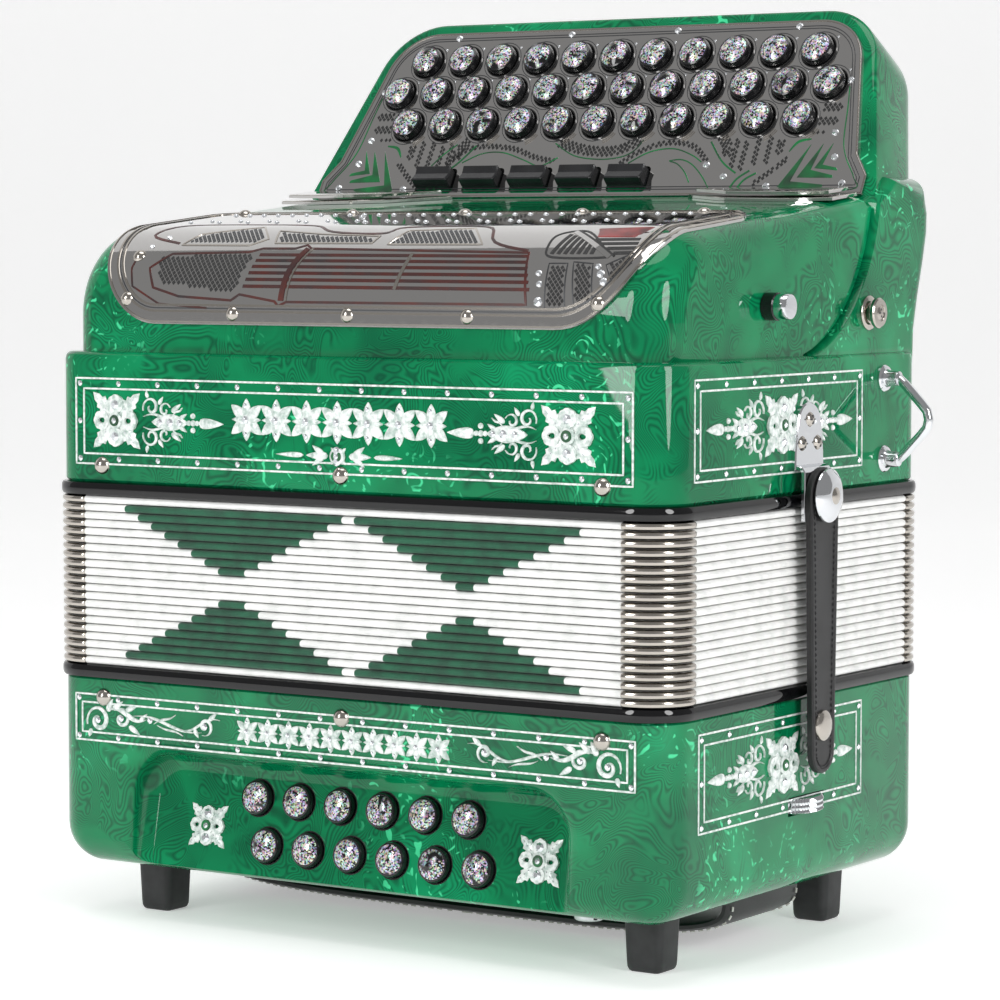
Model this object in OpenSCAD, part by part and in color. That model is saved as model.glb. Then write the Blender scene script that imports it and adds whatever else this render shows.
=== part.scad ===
// Three-row button accordion, standing on its bass end with the bellows closed.
// +Z runs from the bass end up to the fingerboard, X is the long side of the cases and
// the front face looks towards -Y. The origin is the middle of the bounding box, at the floor.

/* [Body] */
// Long side of the bellows frames
body_w = 304; // [294:1:314]
// Front to back size of the bellows frames
body_d = 213; // [206:1:220]
// Upright corner radius of the bellows frames
corner_r = 19; // [16:1:24]
// How far the cases stand in from the bellows frames
case_inset = 2; // [1:0.5:3]
// Wall of the two cases
wall = 5; // [4:0.5:6]
// Height of the rubber feet
foot_h = 22.5; // [20:0.5:25]
// Height of the bass case
bass_h = 79; // [76:1:85]
// Rounding along the bottom edges of the bass case
bass_edge_r = 17; // [14:1:17]
// Height of the straight band of the treble case
band_h = 53.7; // [49:0.5:59]

/* [Bellows] */
// Number of folds
fold_count = 21; // [15:1:24]
// Height of one closed fold
fold_pitch = 3.34; // [3:0.02:3.6]
// Depth of a fold
fold_depth = 22; // [16:1:26]
// Height of a bellows frame
frame_h = 5.6; // [5:0.1:7]
// Diameter of a bellows pin's domed head
pin_head_d = 7.6; // [6:0.2:9]

/* [Hood] */
// How far the front of the hood stands in from the case
hood_step = 5.5; // [4:0.5:7]
// Radius where the front of the hood turns over into its top
hood_r = 36; // [30:1:40]
// Slope of the hood's top towards the fingerboard
hood_slope = 5.7; // [3:0.1:8]
// Radius of the seam between the hood and the fingerboard block
seam_r = 75; // [70:1:80]
// Thickness of the hood and of the grille plate over it
hood_t = 3; // [2:0.5:4]
// Thickness of the metal plates
plate_t = 1.2; // [0.8:0.1:1.6]

/* [Fingerboard] */
// Lean of the fingerboard from upright
lean = 28.9; // [20:0.1:35]
// Thickness of the fingerboard, from its face to its back
board_t = 47; // [40:1:50]
// Length of the board's face above the middle button row
board_up = 37.8; // [35:0.2:42]
// Length of the board's face below the middle button row
board_down = 54; // [50:1:56]
// Half width of the board's face at the middle row
board_half = 131; // [128:1:136]
// Rounding of the board's upper corners
board_r = 30; // [24:1:34]

/* [Treble buttons] */
// Spacing of the buttons along a row
button_pitch = 20; // [19:0.1:20.5]
// Spacing of the rows
row_pitch = 16.45; // [15.5:0.05:17.5]
// Diameter of a treble cap
cap_d = 14.5; // [13:0.1:15]
// Travel of a treble button
treble_travel = 3.5; // [2.5:0.1:4]
// Diameter of a button's stem
stem_d = 6; // [4:0.5:7]
// Radial clearance of stems, shafts and studs in their bores
run_gap = 0.08; // [0.02:0.01:0.1]

/* [Bass buttons] */
// Spacing of the bass buttons along a row
bass_pitch = 20.7; // [20:0.1:21.5]
// Diameter of a bass cap
bass_cap_d = 14; // [12:0.1:15]
// Travel of a bass button
bass_travel = 3; // [2:0.1:3.5]
// Half width of the recess the bass buttons sit in
recess_half = 106.5; // [100:0.5:108]
// Depth of the recess at its lower edge
recess_low = 8; // [7:0.5:10]
// Depth of the recess at its upper edge
recess_high = 16; // [13:0.5:18]

/* [Hidden] */
$fn = 64;
tiny = 0.05;
z_bass = foot_h;
z_frame_low = z_bass + bass_h;
z_folds = z_frame_low + frame_h;
folds_h = fold_count * fold_pitch;
z_frame_high = z_folds + folds_h;
z_treble = z_frame_high + frame_h;
z_hood = z_treble + band_h;
case_w = body_w - 2 * case_inset;
case_d = body_d - 2 * case_inset;
case_r = corner_r - case_inset;
side_x = case_w / 2;
front_y = -case_d / 2;
back_y = case_d / 2;

// The hood's arc and its sloping top
hood_y = front_y + hood_step;
arc_y = hood_y + hood_r;
arc_z = z_hood + 15;
hood_half = side_x - 5;
seam_y = -8.7;
seam_z = z_hood + seam_r - 2;

// A point of the board's face at the middle row, and how far the block's back bulges
board_y = 94.25;
board_z = z_hood + 110.5;
block_half = side_x - 2;
block_back = 117;
board_slope = 0.26;
slope_len = sqrt(1 + board_slope * board_slope);
cap_hole_d = cap_d + 2.1;
sink = 6.5;
skin_t = 10.5;

// Depth of the register tabs' rocking axis below the board's face
tab_pivot = 3;

// Hardware on the right side
rig_z = z_hood - 52.5;
strap_y = 1;
stud_z = rig_z - 2;
knob_y = -22;
knob_z = z_hood + 20;
wheel_z = 58.8;
wheel_r = 19;
wheel_x = side_x - 13.5;
bail_y = 66;
pin_drop = 7.8;
pin_rise = 6.9;
tip_x = 173;
pin_h = 3;

// The bounding box's middle is put at the origin
board_back_y = board_y + board_up * sin(lean) + board_t * cos(lean);
org_x = (tip_x - body_w / 2) / 2;
org_y = (board_back_y + front_y - pin_h) / 2;

recess_mid = -2.5;
row_counts = [11, 12, 11];
register_x = [-76, -51, -26, -1, 24];

function row_of(i) = i < 11 ? 0 : (i < 23 ? 1 : 2);
function col_of(i) = i < 11 ? i : (i < 23 ? i - 11 : i - 23);
function button_x(i) = (col_of(i) - (row_counts[row_of(i)] - 1) / 2) * button_pitch;
function button_s(i) = (row_of(i) - 1) * row_pitch;
function two(n) = n < 10 ? str("0", n) : str(n);
function button_name(i) = str("treble_button_", two(i + 1));
function register_name(i) = str("register_tab_", i + 1);
function edge_x(s) = board_half - board_slope * s;

// ---- Shared shapes ----

module place() {
    translate([-org_x, -org_y, 0]) children();
}

module round_rect(w, d, r) {
    square([w - 2 * r, d], center = true);
    square([w, d - 2 * r], center = true);
    for (x = [-1, 1], y = [-1, 1])
        translate([x * (w / 2 - r), y * (d / 2 - r)]) circle(r);
}

module prism(w, d, r, z0, z1) {
    translate([0, 0, z0]) linear_extrude(z1 - z0) round_rect(w, d, r);
}

module ring(w, d, r, t, z0, z1) {
    translate([0, 0, z0]) linear_extrude(z1 - z0) difference() {
        round_rect(w, d, r);
        round_rect(w - 2 * t, d - 2 * t, max(r - t, 2));
    }
}

// A profile drawn in Y and Z, pulled out along X
module along_x(half) {
    rotate([90, 0, 90]) translate([0, 0, -half]) linear_extrude(2 * half) children();
}

// The board's own frame: X across, +Z up along the face, +Y into the board
module on_board() {
    translate([0, board_y, board_z]) rotate([-lean, 0, 0]) children();
}

// A flat shape drawn in X and along the board, from depth y0 to depth y1
module board_slab(y0, y1) {
    translate([0, y1, 0]) rotate([90, 0, 0]) linear_extrude(y1 - y0) children();
}

module out_x(x, y, z) {
    translate([x, y, z]) rotate([0, 90, 0]) children();
}

// The bass button panel leans back towards its top
panel_lean = atan((recess_high - recess_low) / 43.5);
module on_panel(x, z) {
    translate([x, front_y + recess_low + (z - z_bass) * tan(panel_lean), z])
        rotate([90 - panel_lean, 0, 0]) children();
}

module dome(d, h) {
    r = (d * d / 4 + h * h) / (2 * h);
    intersection() {
        translate([0, 0, h - r]) sphere(r);
        cylinder(d = d, h = 2 * h);
    }
}

// ---- Bass end ----

module rounded_tray(half_x, half_y, r, z0, z1) {
    zc = z0 + r;
    linear_x = 2 * (half_x - r);
    linear_y = 2 * (half_y - r);
    translate([-half_x + r, -half_y + r, z0]) cube([linear_x, linear_y, r + 1]);
    for (y = [-1, 1])
        translate([-half_x + r, y * (half_y - r), zc]) rotate([0, 90, 0])
            cylinder(r = r, h = linear_x);
    for (x = [-1, 1])
        translate([x * (half_x - r), half_y - r, zc]) rotate([90, 0, 0])
            cylinder(r = r, h = linear_y);
    for (x = [-1, 1], y = [-1, 1])
        translate([x * (half_x - r), y * (half_y - r), zc]) sphere(r);
    prism(2 * half_x, 2 * half_y, r, zc, z1);
}

module recess_profile() {
    y_low = front_y + recess_low;
    y_high = front_y + recess_high;
    z_high = z_bass + 43.5;
    polygon([[front_y - 1, z_bass - 1], [y_low - 0.2, z_bass - 1], [y_high, z_high],
             [y_high - 3, z_high + 4.5], [y_high - 9, z_high + 7], [front_y - 1, z_high + 7.6]]);
}

module bass_case() {
    color("#0f8a58") place() {
        difference() {
            union() {
                difference() {
                    rounded_tray(side_x, case_d / 2, bass_edge_r, z_bass, z_frame_low);
                    prism(case_w - 2 * wall, case_d - 2 * wall, case_r - wall,
                          z_bass + wall, z_frame_low + 1);
                    translate([0, 0, z_bass + wall]) cube([236, 146, 20], center = true);
                    translate([0, 0, z_bass - 1]) cube([244.4, 154.4, 7], center = true);
                }
                // Wood behind the button recess
                intersection() {
                    translate([recess_mid - recess_half - 7, front_y, z_bass])
                        cube([2 * recess_half + 14, 27, 58]);
                    rounded_tray(side_x, case_d / 2, bass_edge_r, z_bass, z_frame_low);
                }
                // Ledge under the reed pan
                ring(case_w - 2 * wall + 1, case_d - 2 * wall + 1, case_r - wall, 5,
                     z_frame_low - 18, z_frame_low - 12);
                // Lugs and axle of the strap adjuster
                for (z = [wheel_z - 10.5, wheel_z + 5.5])
                    translate([wheel_x - 8, strap_y - 5, z]) cube([18, 14, 5]);
                translate([wheel_x, strap_y + 2, wheel_z - 8]) cylinder(d = 5, h = 16);
                // Snap stud behind the bellows strap
                out_x(side_x - 2, strap_y - 1, 91) cylinder(d = 8, h = 8);
            }
            translate([recess_mid, 0, 0]) along_x(recess_half) recess_profile();
            // Slot for the adjuster wheel
            translate([wheel_x, strap_y + 2, wheel_z - 3.6]) difference() {
                cylinder(r = wheel_r + 0.5, h = 7.2);
                translate([0, 0, -1]) cylinder(d = 5, h = 10);
            }
            // Guide holes for the bass stems
            for (i = [0:5], r = [0, 1])
                on_panel(bass_x(i, r), bass_z(r)) translate([0, 0, -24])
                    cylinder(d = stem_d + 2 * run_gap, h = 26);
            for (i = [0:5], r = [0, 1])
                on_panel(bass_x(i, r), bass_z(r)) translate([0, 0, -4])
                    cylinder(d = bass_cap_d + 1.6, h = 6);
            // Holes for the bellows pins
            for (x = [-121.5, 0, 121.5], y = [-1, 1])
                translate([x, y * (case_d / 2 - wall / 2), z_frame_low - pin_drop])
                    rotate([90, 0, 0]) cylinder(d = 3.2, h = wall + 2, center = true);
        }
    }
}

function bass_x(i, r) = (i - 2.5) * bass_pitch + (r == 0 ? 7 : 0);
function bass_z(r) = r == 0 ? 37.2 : 55.8;

module bass_row(r) {
    for (i = [0:5])
        on_panel(bass_x(i, r), bass_z(r)) {
            translate([0, 0, 3]) dome(bass_cap_d, 1.8);
            translate([0, 0, -0.2]) cylinder(d = bass_cap_d, h = 3.2 + tiny);
            translate([0, 0, -19]) cylinder(d = stem_d, h = 19);
        }
}

module bass_buttons_upper() {
    color("#1b1b1d") place() bass_row(1);
}

module bass_buttons_lower() {
    color("#1b1b1d") place() bass_row(0);
}

module bass_end_plate() {
    color("#0f8a58") place() difference() {
        translate([0, 0, z_bass + 1.25]) cube([244, 154, 2.5], center = true);
        for (x = [-60:20:60], y = [-58, 62])
            translate([x - 6, y, z_bass - 1]) cube([12, 4, 5]);
        translate([air_x, air_y, z_bass - 1]) cylinder(d = 12 + 2 * run_gap, h = 5);
    }
}

air_x = 88;
air_y = -60;

module air_button() {
    color("#d9d9dc") place() translate([air_x, air_y, z_bass - 7]) {
        cylinder(d = 12, h = 18);
        translate([0, 0, 10]) cylinder(d = 20, h = 2);
    }
}

module rubber_feet() {
    color("#18181a") place()
        for (x = [-120.6, 120.6], y = [-66, 66])
            translate([x, y, 0]) difference() {
                translate([0, 0, 0]) linear_extrude(foot_h) round_rect(17.6, 17.6, 3.5);
                translate([0, 0, -1]) cylinder(d = 7, h = 6);
            }
}

// The hand strap drops steeply at its ends and bows under the end plate
function bow(a, half, drop) =
    let (c = cos(a))
    [half * sign(c) * sqrt(abs(c)), z_bass - drop * sqrt(max(0, sin(a)))];
module hand_strap() {
    steps = 24;
    outer = [for (i = [0:steps]) bow(180 * i / steps, 130, 19)];
    inner = [for (i = [steps:-1:0]) bow(180 * i / steps, 125.5, 14.6)];
    color("#1a1a1c") place() {
        translate([0, 35, 0]) rotate([90, 0, 0]) linear_extrude(58)
            polygon(concat(outer, inner));
    }
}

module bass_reed_blocks() {
    color("#c9a36a") place() {
        prism(case_w - 2 * wall - 0.4, case_d - 2 * wall - 0.4, case_r - wall,
              z_frame_low - 12, z_frame_low - 8);
        for (y = [-34, 22])
            translate([-84, y, z_frame_low - 56]) cube([168, 20, 44 + tiny]);
    }
}

// ---- Bellows ----

module pins(z) {
    for (x = [-121.5, 0, 121.5], s = [-1, 1])
        translate([x, s * case_d / 2, z]) rotate([-90 * s, 0, 0]) {
            dome(pin_head_d, pin_h);
            translate([0, 0, -wall + 0.5]) cylinder(d = 3, h = wall);
        }
}

module bellows_frame_lower() {
    color("#0e0e10") place() {
        ring(body_w, body_d, corner_r, 17, z_frame_low, z_folds);
        pins(z_frame_low - pin_drop);
    }
}

module bellows_frame_upper() {
    color("#0e0e10") place() {
        ring(body_w, body_d, corner_r, 17, z_frame_high, z_treble);
        pins(z_treble + pin_rise);
    }
}

module bellows_folds() {
    color("#f2f2f0") place()
        for (k = [0:fold_count - 1])
            ring(body_w - 2, body_d - 2, corner_r - 1, fold_depth,
                 z_folds + k * fold_pitch + 0.06, z_folds + (k + 1) * fold_pitch - 0.06);
}

// ---- Treble end ----

module treble_case() {
    color("#0f8a58") place() difference() {
        union() {
            ring(case_w, case_d, case_r, wall, z_treble, z_hood);
            ring(case_w - 2 * wall + 1, case_d - 2 * wall + 1, case_r - wall, 5,
                 z_treble + 6, z_treble + 12);
            // Rim that carries the hood and the fingerboard
            ring(case_w - 2, case_d - 2, case_r - 1, 14, z_hood - 5, z_hood);
        }
        for (x = [-121.5, 0, 121.5], y = [-1, 1])
            translate([x, y * (case_d / 2 - wall / 2), z_treble + pin_rise])
                rotate([90, 0, 0]) cylinder(d = 3.2, h = wall + 2, center = true);
    }
}

module treble_reed_blocks() {
    color("#c9a36a") place() {
        prism(case_w - 2 * wall - 0.4, case_d - 2 * wall - 0.4, case_r - wall,
              z_treble + 2, z_treble + 6);
        for (y = [-52, -12, 28])
            translate([-100, y, z_treble + 6 - tiny]) cube([200, 18, 40]);
    }
}

// Points along an arc in Y and Z, from angle a0 to a1
function arc(y, z, r, a0, a1, n) =
    [for (i = [0:n]) let (a = a0 + (a1 - a0) * i / n) [y + r * cos(a), z + r * sin(a)]];

// Side profile of the hood, grown outwards by g and started at height z0
module hood_profile(g, z0) {
    r = hood_r + g;
    rs = seam_r + min(g, 0);
    top_y = arc_y - r * sin(hood_slope);
    top_z = arc_z + r * cos(hood_slope);
    d = (top_z + (seam_y - top_y) * tan(hood_slope) - seam_z) * cos(hood_slope);
    a_end = hood_slope + asin(d / rs);
    a_low = g < 0 ? -90 : asin((z_hood - seam_z) / rs);
    polygon(concat(
        [[hood_y - g, z0]],
        arc(arc_y, arc_z, r, 180, 90 + hood_slope, 24),
        arc(seam_y, seam_z, rs, a_end, a_low, 24),
        g == 0 ? [] : [[seam_y + (g < 0 ? 0 : 17), z0]]));
}

module treble_hood() {
    color("#0f8a58") place() difference() {
        intersection() {
            along_x(hood_half) hood_profile(0, z_hood);
            translate([0, 0, z_hood]) linear_extrude(90)
                translate([0, hood_y + 100]) round_rect(2 * hood_half, 200, 14);
        }
        intersection() {
            along_x(hood_half - hood_t) hood_profile(-hood_t, z_hood - 5);
            translate([0, 0, z_hood - 5]) linear_extrude(90)
                translate([0, hood_y + hood_t + 100])
                    round_rect(2 * (hood_half - hood_t), 200, 11);
        }
        // Bore for the knob's shaft
        out_x(hood_half - 6, knob_y, knob_z) cylinder(d = 6 + 2 * run_gap, h = 12);
    }
}

// The grille plate is bent over the hood; its ends are rounded
grille_low = z_hood + 11.8;
grille_end_y = -12;
module grille_plate() {
    grille_top = arc_z + hood_r + 6;
    tilt = atan2(grille_top - grille_low, grille_end_y - hood_y);
    long = norm([grille_top - grille_low, grille_end_y - hood_y]);
    color("#a9abad") place() {
        intersection() {
            difference() {
                along_x(135) hood_profile(plate_t, z_hood - 1);
                along_x(136) hood_profile(0.02, z_hood - 2);
            }
            translate([0, hood_y, grille_low]) rotate([tilt, 0, 0])
                translate([0, long / 2, -60]) linear_extrude(120)
                    round_rect(262, long, 34);
        }
        for (x = [-57, 0, 57])
            translate([x, hood_y - plate_t, grille_low + 4.4]) rotate([90, 0, 0])
                dome(6, 1.8);
    }
}

// Outline of the board's face, drawn in by g
module board_outline(g) {
    top = board_up - g;
    r = board_r - g;
    cs = top - r;
    cx = edge_x(cs) - (r + g) * slope_len;
    nx = r / slope_len;
    nz = r * board_slope / slope_len;
    low = -board_down + min(g, 1);
    low_x = edge_x(low) - g * slope_len;
    polygon([[-low_x, low], [low_x, low], [cx + nx, cs + nz], [cx, top],
             [-cx, top], [-cx - nx, cs + nz]]);
    for (x = [-cx, cx]) translate([x, cs]) circle(r);
}

module fingerboard() {
    low_y = board_y - board_down * sin(lean);
    low_z = board_z - board_down * cos(lean);
    color("#0f8a58") place() difference() {
        union() {
            on_board() board_slab(0, board_t) board_outline(0);
            intersection() {
                along_x(block_half)
                    polygon([[11, z_hood], [back_y, z_hood], [back_y + 1, z_hood + 14],
                             [block_back, z_hood + 52], [block_back, z_hood + 60],
                             [block_back - 4.5, z_hood + 67], [low_y + 12, low_z + 9],
                             [low_y, low_z]]);
                translate([0, block_back - 150, z_hood - 1]) linear_extrude(90)
                    round_rect(2 * block_half, 300, case_r);
            }
        }
        along_x(160) translate([seam_y, seam_z]) circle(seam_r + 0.15, $fn = 128);
        // Room for the levers behind the board and down into the case
        on_board() translate([-115, skin_t, -46]) cube([230, board_t - skin_t - 6, 72]);
        along_x(block_half - 8)
            polygon([[45, z_hood - 1], [back_y - 7, z_hood - 1], [back_y - 7, z_hood + 16],
                     [block_back - 9, z_hood + 51], [104, z_hood + 56],
                     [84, z_hood + 63], [74, z_hood + 43], [58, z_hood + 14]]);
        for (i = [0:33]) {
            on_board() translate([button_x(i), sink, button_s(i)]) rotate([90, 0, 0])
                cylinder(d = cap_hole_d, h = sink + 1);
            on_board() translate([button_x(i), skin_t + 1, button_s(i)]) rotate([90, 0, 0])
                cylinder(d = stem_d + 2 * run_gap, h = skin_t);
        }
        for (x = register_x)
            on_board() translate([x - 10, -1, -51.2]) cube([20, skin_t + 2, 12.6]);
    }
}

module fingerboard_plate() {
    color("#a9abad") place() {
        on_board() difference() {
            board_slab(-plate_t, -0.02) board_outline(6);
            for (i = [0:33])
                translate([button_x(i), 1, button_s(i)]) rotate([90, 0, 0])
                    cylinder(d = cap_hole_d, h = 4);
            for (x = register_x)
                translate([x - 10, -3, -51.2]) cube([20, 6, 12.6]);
        }
        // Two tapered wings lie on the hood at the board's foot
        wing_y = 34;
        wing_z = arc_z + hood_r * cos(hood_slope)
            + (wing_y - arc_y + hood_r * sin(hood_slope)) * tan(hood_slope);
        for (m = [0, 1]) mirror([m, 0, 0])
            translate([0, wing_y, wing_z + 0.05]) rotate([hood_slope, 0, 0])
                linear_extrude(plate_t)
                    polygon([[60, 27], [84, 11], [120, 4], [139, 8], [139, 29], [100, 30]]);
    }
}

module treble_button(i) {
    color("#1b1b1d") place() on_board() translate([button_x(i), 0, button_s(i)])
        rotate([90, 0, 0]) {
            translate([0, 0, 4.8]) dome(cap_d, 2);
            translate([0, 0, -1.9]) cylinder(d = cap_d, h = 6.7 + tiny);
            translate([0, 0, -skin_t - 6]) cylinder(d = stem_d, h = skin_t + 5);
        }
}

module register_tab(i) {
    color("#222224") place() on_board() translate([register_x[i], 0, -43.5])
        rotate([90, 0, 90]) {
            translate([0, 0, -9.3]) linear_extrude(18.6)
                translate([tab_pivot, 0]) rotate(-7) translate([-tab_pivot, 0])
                    polygon([[6, -4], [6, 2], [-2.5, 3.4], [-6.4, 2.8], [-5.4, -1], [-7, -5],
                             [-2.5, -6]]);
            // Axle ends the tab rocks on
            translate([tab_pivot, 0, -9.8]) cylinder(d = 4, h = 19.6);
        }
}

module volume_knob() {
    color("#c8c9cc") place() out_x(hood_half, knob_y, knob_z) {
        translate([0, 0, -9]) cylinder(d = 6, h = 10);
        translate([0, 0, 0.4]) cylinder(d = 11, h = 5);
        translate([0, 0, 5.4 - tiny]) cylinder(d = 9.6, h = 5.6);
        translate([0, 0, -9]) cylinder(d = 9, h = 3);
    }
}

// ---- Straps and their fittings ----

module rod(a, b, d) {
    v = b - a;
    translate(a) rotate([0, acos(v[2] / norm(v)), atan2(v[1], v[0])])
        cylinder(d = d, h = norm(v));
}

module strap_fittings() {
    x0 = side_x;
    bail_x = tip_x - 2;
    posts = [rig_z + 9, rig_z + 42];
    mid = (posts[0] + posts[1]) / 2;
    color("#cfd0d3") place() {
        // Bracket with the stud and dome the bellows strap turns on
        translate([x0, strap_y - 11, rig_z + 8]) cube([2, 22, 17]);
        out_x(x0, strap_y, rig_z + 25) cylinder(d = 20, h = 2);
        translate([x0, strap_y - 11, rig_z + 8]) cube([6, 22, 2]);
        translate([x0 + 4, strap_y - 11, stud_z - 2]) cube([2, 22, rig_z + 10 - stud_z + 2]);
        out_x(x0 + 4, strap_y, stud_z) cylinder(d = 22, h = 2);
        out_x(x0 + 5, strap_y, stud_z) cylinder(d = 8, h = 6);
        out_x(x0 + 10, strap_y, stud_z) dome(21, 4);
        for (p = [[0, 27.8], [-6.2, 18.5], [6.2, 18.5]])
            out_x(x0 + 2 - tiny, strap_y + p[0], rig_z + p[1]) dome(6, 2);
        // Bail for the shoulder strap on its two flanged posts
        for (z = posts) {
            out_x(x0, bail_y, z) cylinder(d = 11, h = 2);
            out_x(x0, bail_y, z) cylinder(d = 6.4, h = 8);
        }
        rod([x0 + 6, bail_y, posts[0]], [bail_x, bail_y, mid - 4], 4);
        rod([x0 + 6, bail_y, posts[1]], [bail_x, bail_y, mid + 4], 4);
        rod([bail_x, bail_y, mid - 4], [bail_x, bail_y, mid + 4], 4);
        for (z = [mid - 4, mid + 4]) translate([bail_x, bail_y, z]) sphere(d = 4);
        // Strap pin on the cheek of the fingerboard
        out_x(block_half, 56, z_hood + 16.3) cylinder(d = 14, h = 1.6);
        out_x(block_half, 56, z_hood + 16.3) cylinder(d = 8, h = 5);
        out_x(block_half + 3.6, 56, z_hood + 16.3) cylinder(d = 12.4, h = 2.8);
    }
}

module bellows_strap() {
    x0 = side_x + 6.3;
    tip_z = 80.5;
    color("#1c1b1c") place() {
        difference() {
            union() {
                out_x(x0, strap_y, stud_z) cylinder(d = 22, h = 3);
                out_x(x0, strap_y, tip_z) cylinder(d = 17, h = 3);
                translate([x0, 0, 0]) rotate([90, 0, 90]) linear_extrude(3)
                    polygon([[strap_y - 11, stud_z], [strap_y + 11, stud_z],
                             [strap_y + 8.5, tip_z], [strap_y - 8.5, tip_z]]);
            }
            out_x(x0 - 1, strap_y, stud_z) cylinder(d = 8 + 2 * run_gap, h = 5);
        }
        out_x(x0 + 3, strap_y - 1, 91) dome(12, 1.6);
    }
}

module strap_wheel() {
    color("#b9babd") place() translate([wheel_x, strap_y + 2, wheel_z - 3]) difference() {
        cylinder(r = wheel_r, h = 6);
        translate([0, 0, -1]) cylinder(d = 5 + 2 * run_gap, h = 8);
    }
}

bass_case();
bass_end_plate();
rubber_feet();
hand_strap();
bass_reed_blocks();
bellows_frame_lower();
bellows_folds();
bellows_frame_upper();
treble_case();
treble_hood();
grille_plate();
fingerboard();
fingerboard_plate();
treble_reed_blocks();
strap_fittings();
bellows_strap();
volume_knob();
strap_wheel();
air_button();
bass_buttons_upper();
bass_buttons_lower();
for (i = [0:4]) register_tab(i);
for (i = [0:33]) treble_button(i);
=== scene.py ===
"""Looks of a three-row button accordion: green pearloid cases, taped bellows, plated grille
and button board, glitter buttons, straps and feet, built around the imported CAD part."""
import math

import bmesh
import bpy
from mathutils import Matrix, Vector


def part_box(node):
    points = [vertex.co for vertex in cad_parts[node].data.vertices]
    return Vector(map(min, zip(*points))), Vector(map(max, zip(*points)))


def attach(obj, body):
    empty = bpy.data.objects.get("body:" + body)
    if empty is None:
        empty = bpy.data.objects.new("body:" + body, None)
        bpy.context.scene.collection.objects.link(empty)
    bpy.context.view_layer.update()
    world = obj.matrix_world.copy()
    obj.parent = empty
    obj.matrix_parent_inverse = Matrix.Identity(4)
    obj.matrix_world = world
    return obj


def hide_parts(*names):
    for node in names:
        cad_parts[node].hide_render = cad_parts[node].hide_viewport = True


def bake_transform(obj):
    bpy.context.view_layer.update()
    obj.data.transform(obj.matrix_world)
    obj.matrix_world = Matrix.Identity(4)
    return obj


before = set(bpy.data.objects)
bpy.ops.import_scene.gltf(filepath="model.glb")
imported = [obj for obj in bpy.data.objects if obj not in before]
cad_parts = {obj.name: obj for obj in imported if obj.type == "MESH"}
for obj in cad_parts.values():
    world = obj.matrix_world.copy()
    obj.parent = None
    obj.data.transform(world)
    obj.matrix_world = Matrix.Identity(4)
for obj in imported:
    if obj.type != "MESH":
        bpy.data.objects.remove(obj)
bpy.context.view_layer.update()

# ---- Measures in millimetres, from the middle of the bellows frames and the floor ----

case_low, case_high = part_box("treble_case")
MID_X = (case_low[0] + case_high[0]) * 500
MID_Y = (case_low[1] + case_high[1]) * 500

Z_BASS, Z_FRAME_LOW, Z_FOLDS = 22.5, 101.5, 107.1
FOLDS, PITCH = 21, 3.34
Z_FRAME_HIGH = Z_FOLDS + FOLDS * PITCH
Z_TREBLE = Z_FRAME_HIGH + 5.6
Z_HOOD = Z_TREBLE + 53.7
FRAME_W, FRAME_D, FRAME_R = 304, 213, 19
CASE_W, CASE_D, CASE_R = 300, 209, 17
SIDE_X, FRONT_Y = 150, -104.5

HOOD_Y, HOOD_R, HOOD_HALF, HOOD_END_R = FRONT_Y + 5.5, 36, 145, 17
ARC_Y, ARC_Z = HOOD_Y + HOOD_R, Z_HOOD + 15
SLOPE = math.radians(5.7)
SEAM_Y, SEAM_Z, SEAM_R = -8.7, Z_HOOD + 73, 75

LEAN = math.radians(28.9)
BOARD_Y, BOARD_Z = 94.25, Z_HOOD + 110.5
BOARD_UP, BOARD_DOWN, BOARD_T = 37.8, 54, 47
ROWS = (11, 12, 11)
BUTTON_PITCH, ROW_PITCH = 20, 16.45
WELL_R, CAP_R = 8.3, 7.25
BOARD_TAPER = 0.26
REGISTER_X, TAB_S, TAB_AXIS_S = (-76, -51, -26, -1, 24), -44.9, -43.5

RECESS_LOW, RECESS_SLOPE, RECESS_MID, RECESS_HALF = 8, 8 / 43.5, -2.5, 106.5
BASS_PITCH, BASS_SHIFT, BASS_ROWS = 20.7, 7, (37.2, 55.8)
RIG_Z = Z_HOOD - 52.5
STRAP_Y, STUD_Z, BAIL_Y = 1, RIG_Z - 2, 66
WHEEL_X, WHEEL_Y, WHEEL_Z, WHEEL_R = SIDE_X - 13.5, STRAP_Y + 2, 58.8, 19

# ---- Finishes ----


def linear(code):
    """An sRGB hex colour as linear RGBA."""
    parts = [int(code[i:i + 2], 16) / 255 for i in (1, 3, 5)]
    return [c / 12.92 if c <= 0.04045 else ((c + 0.055) / 1.055) ** 2.4
            for c in parts] + [1]


def add(tree, kind, inputs=(), **settings):
    """A node with its settings; each input is a value or the socket that feeds it."""
    made = tree.nodes.new(kind)
    for key, value in settings.items():
        setattr(made, key, value)
    for key, value in dict(inputs).items():
        if isinstance(value, bpy.types.NodeSocket):
            tree.links.new(value, made.inputs[key])
        else:
            made.inputs[key].default_value = value
    return made


def ramp(tree, fac, stops):
    """A colour ramp over fac; stops are (place, hex colour)."""
    made = add(tree, "ShaderNodeValToRGB", {"Fac": fac})
    ends = made.color_ramp.elements
    while len(ends) < len(stops):
        ends.new(0.5)
    for end, (place, code) in zip(ends, stops):
        end.position = place
        end.color = linear(code)
    return made.outputs["Color"]


def per_metre(size_mm):
    """A texture scale whose cells are size_mm across."""
    return 1000 / size_mm


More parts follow.
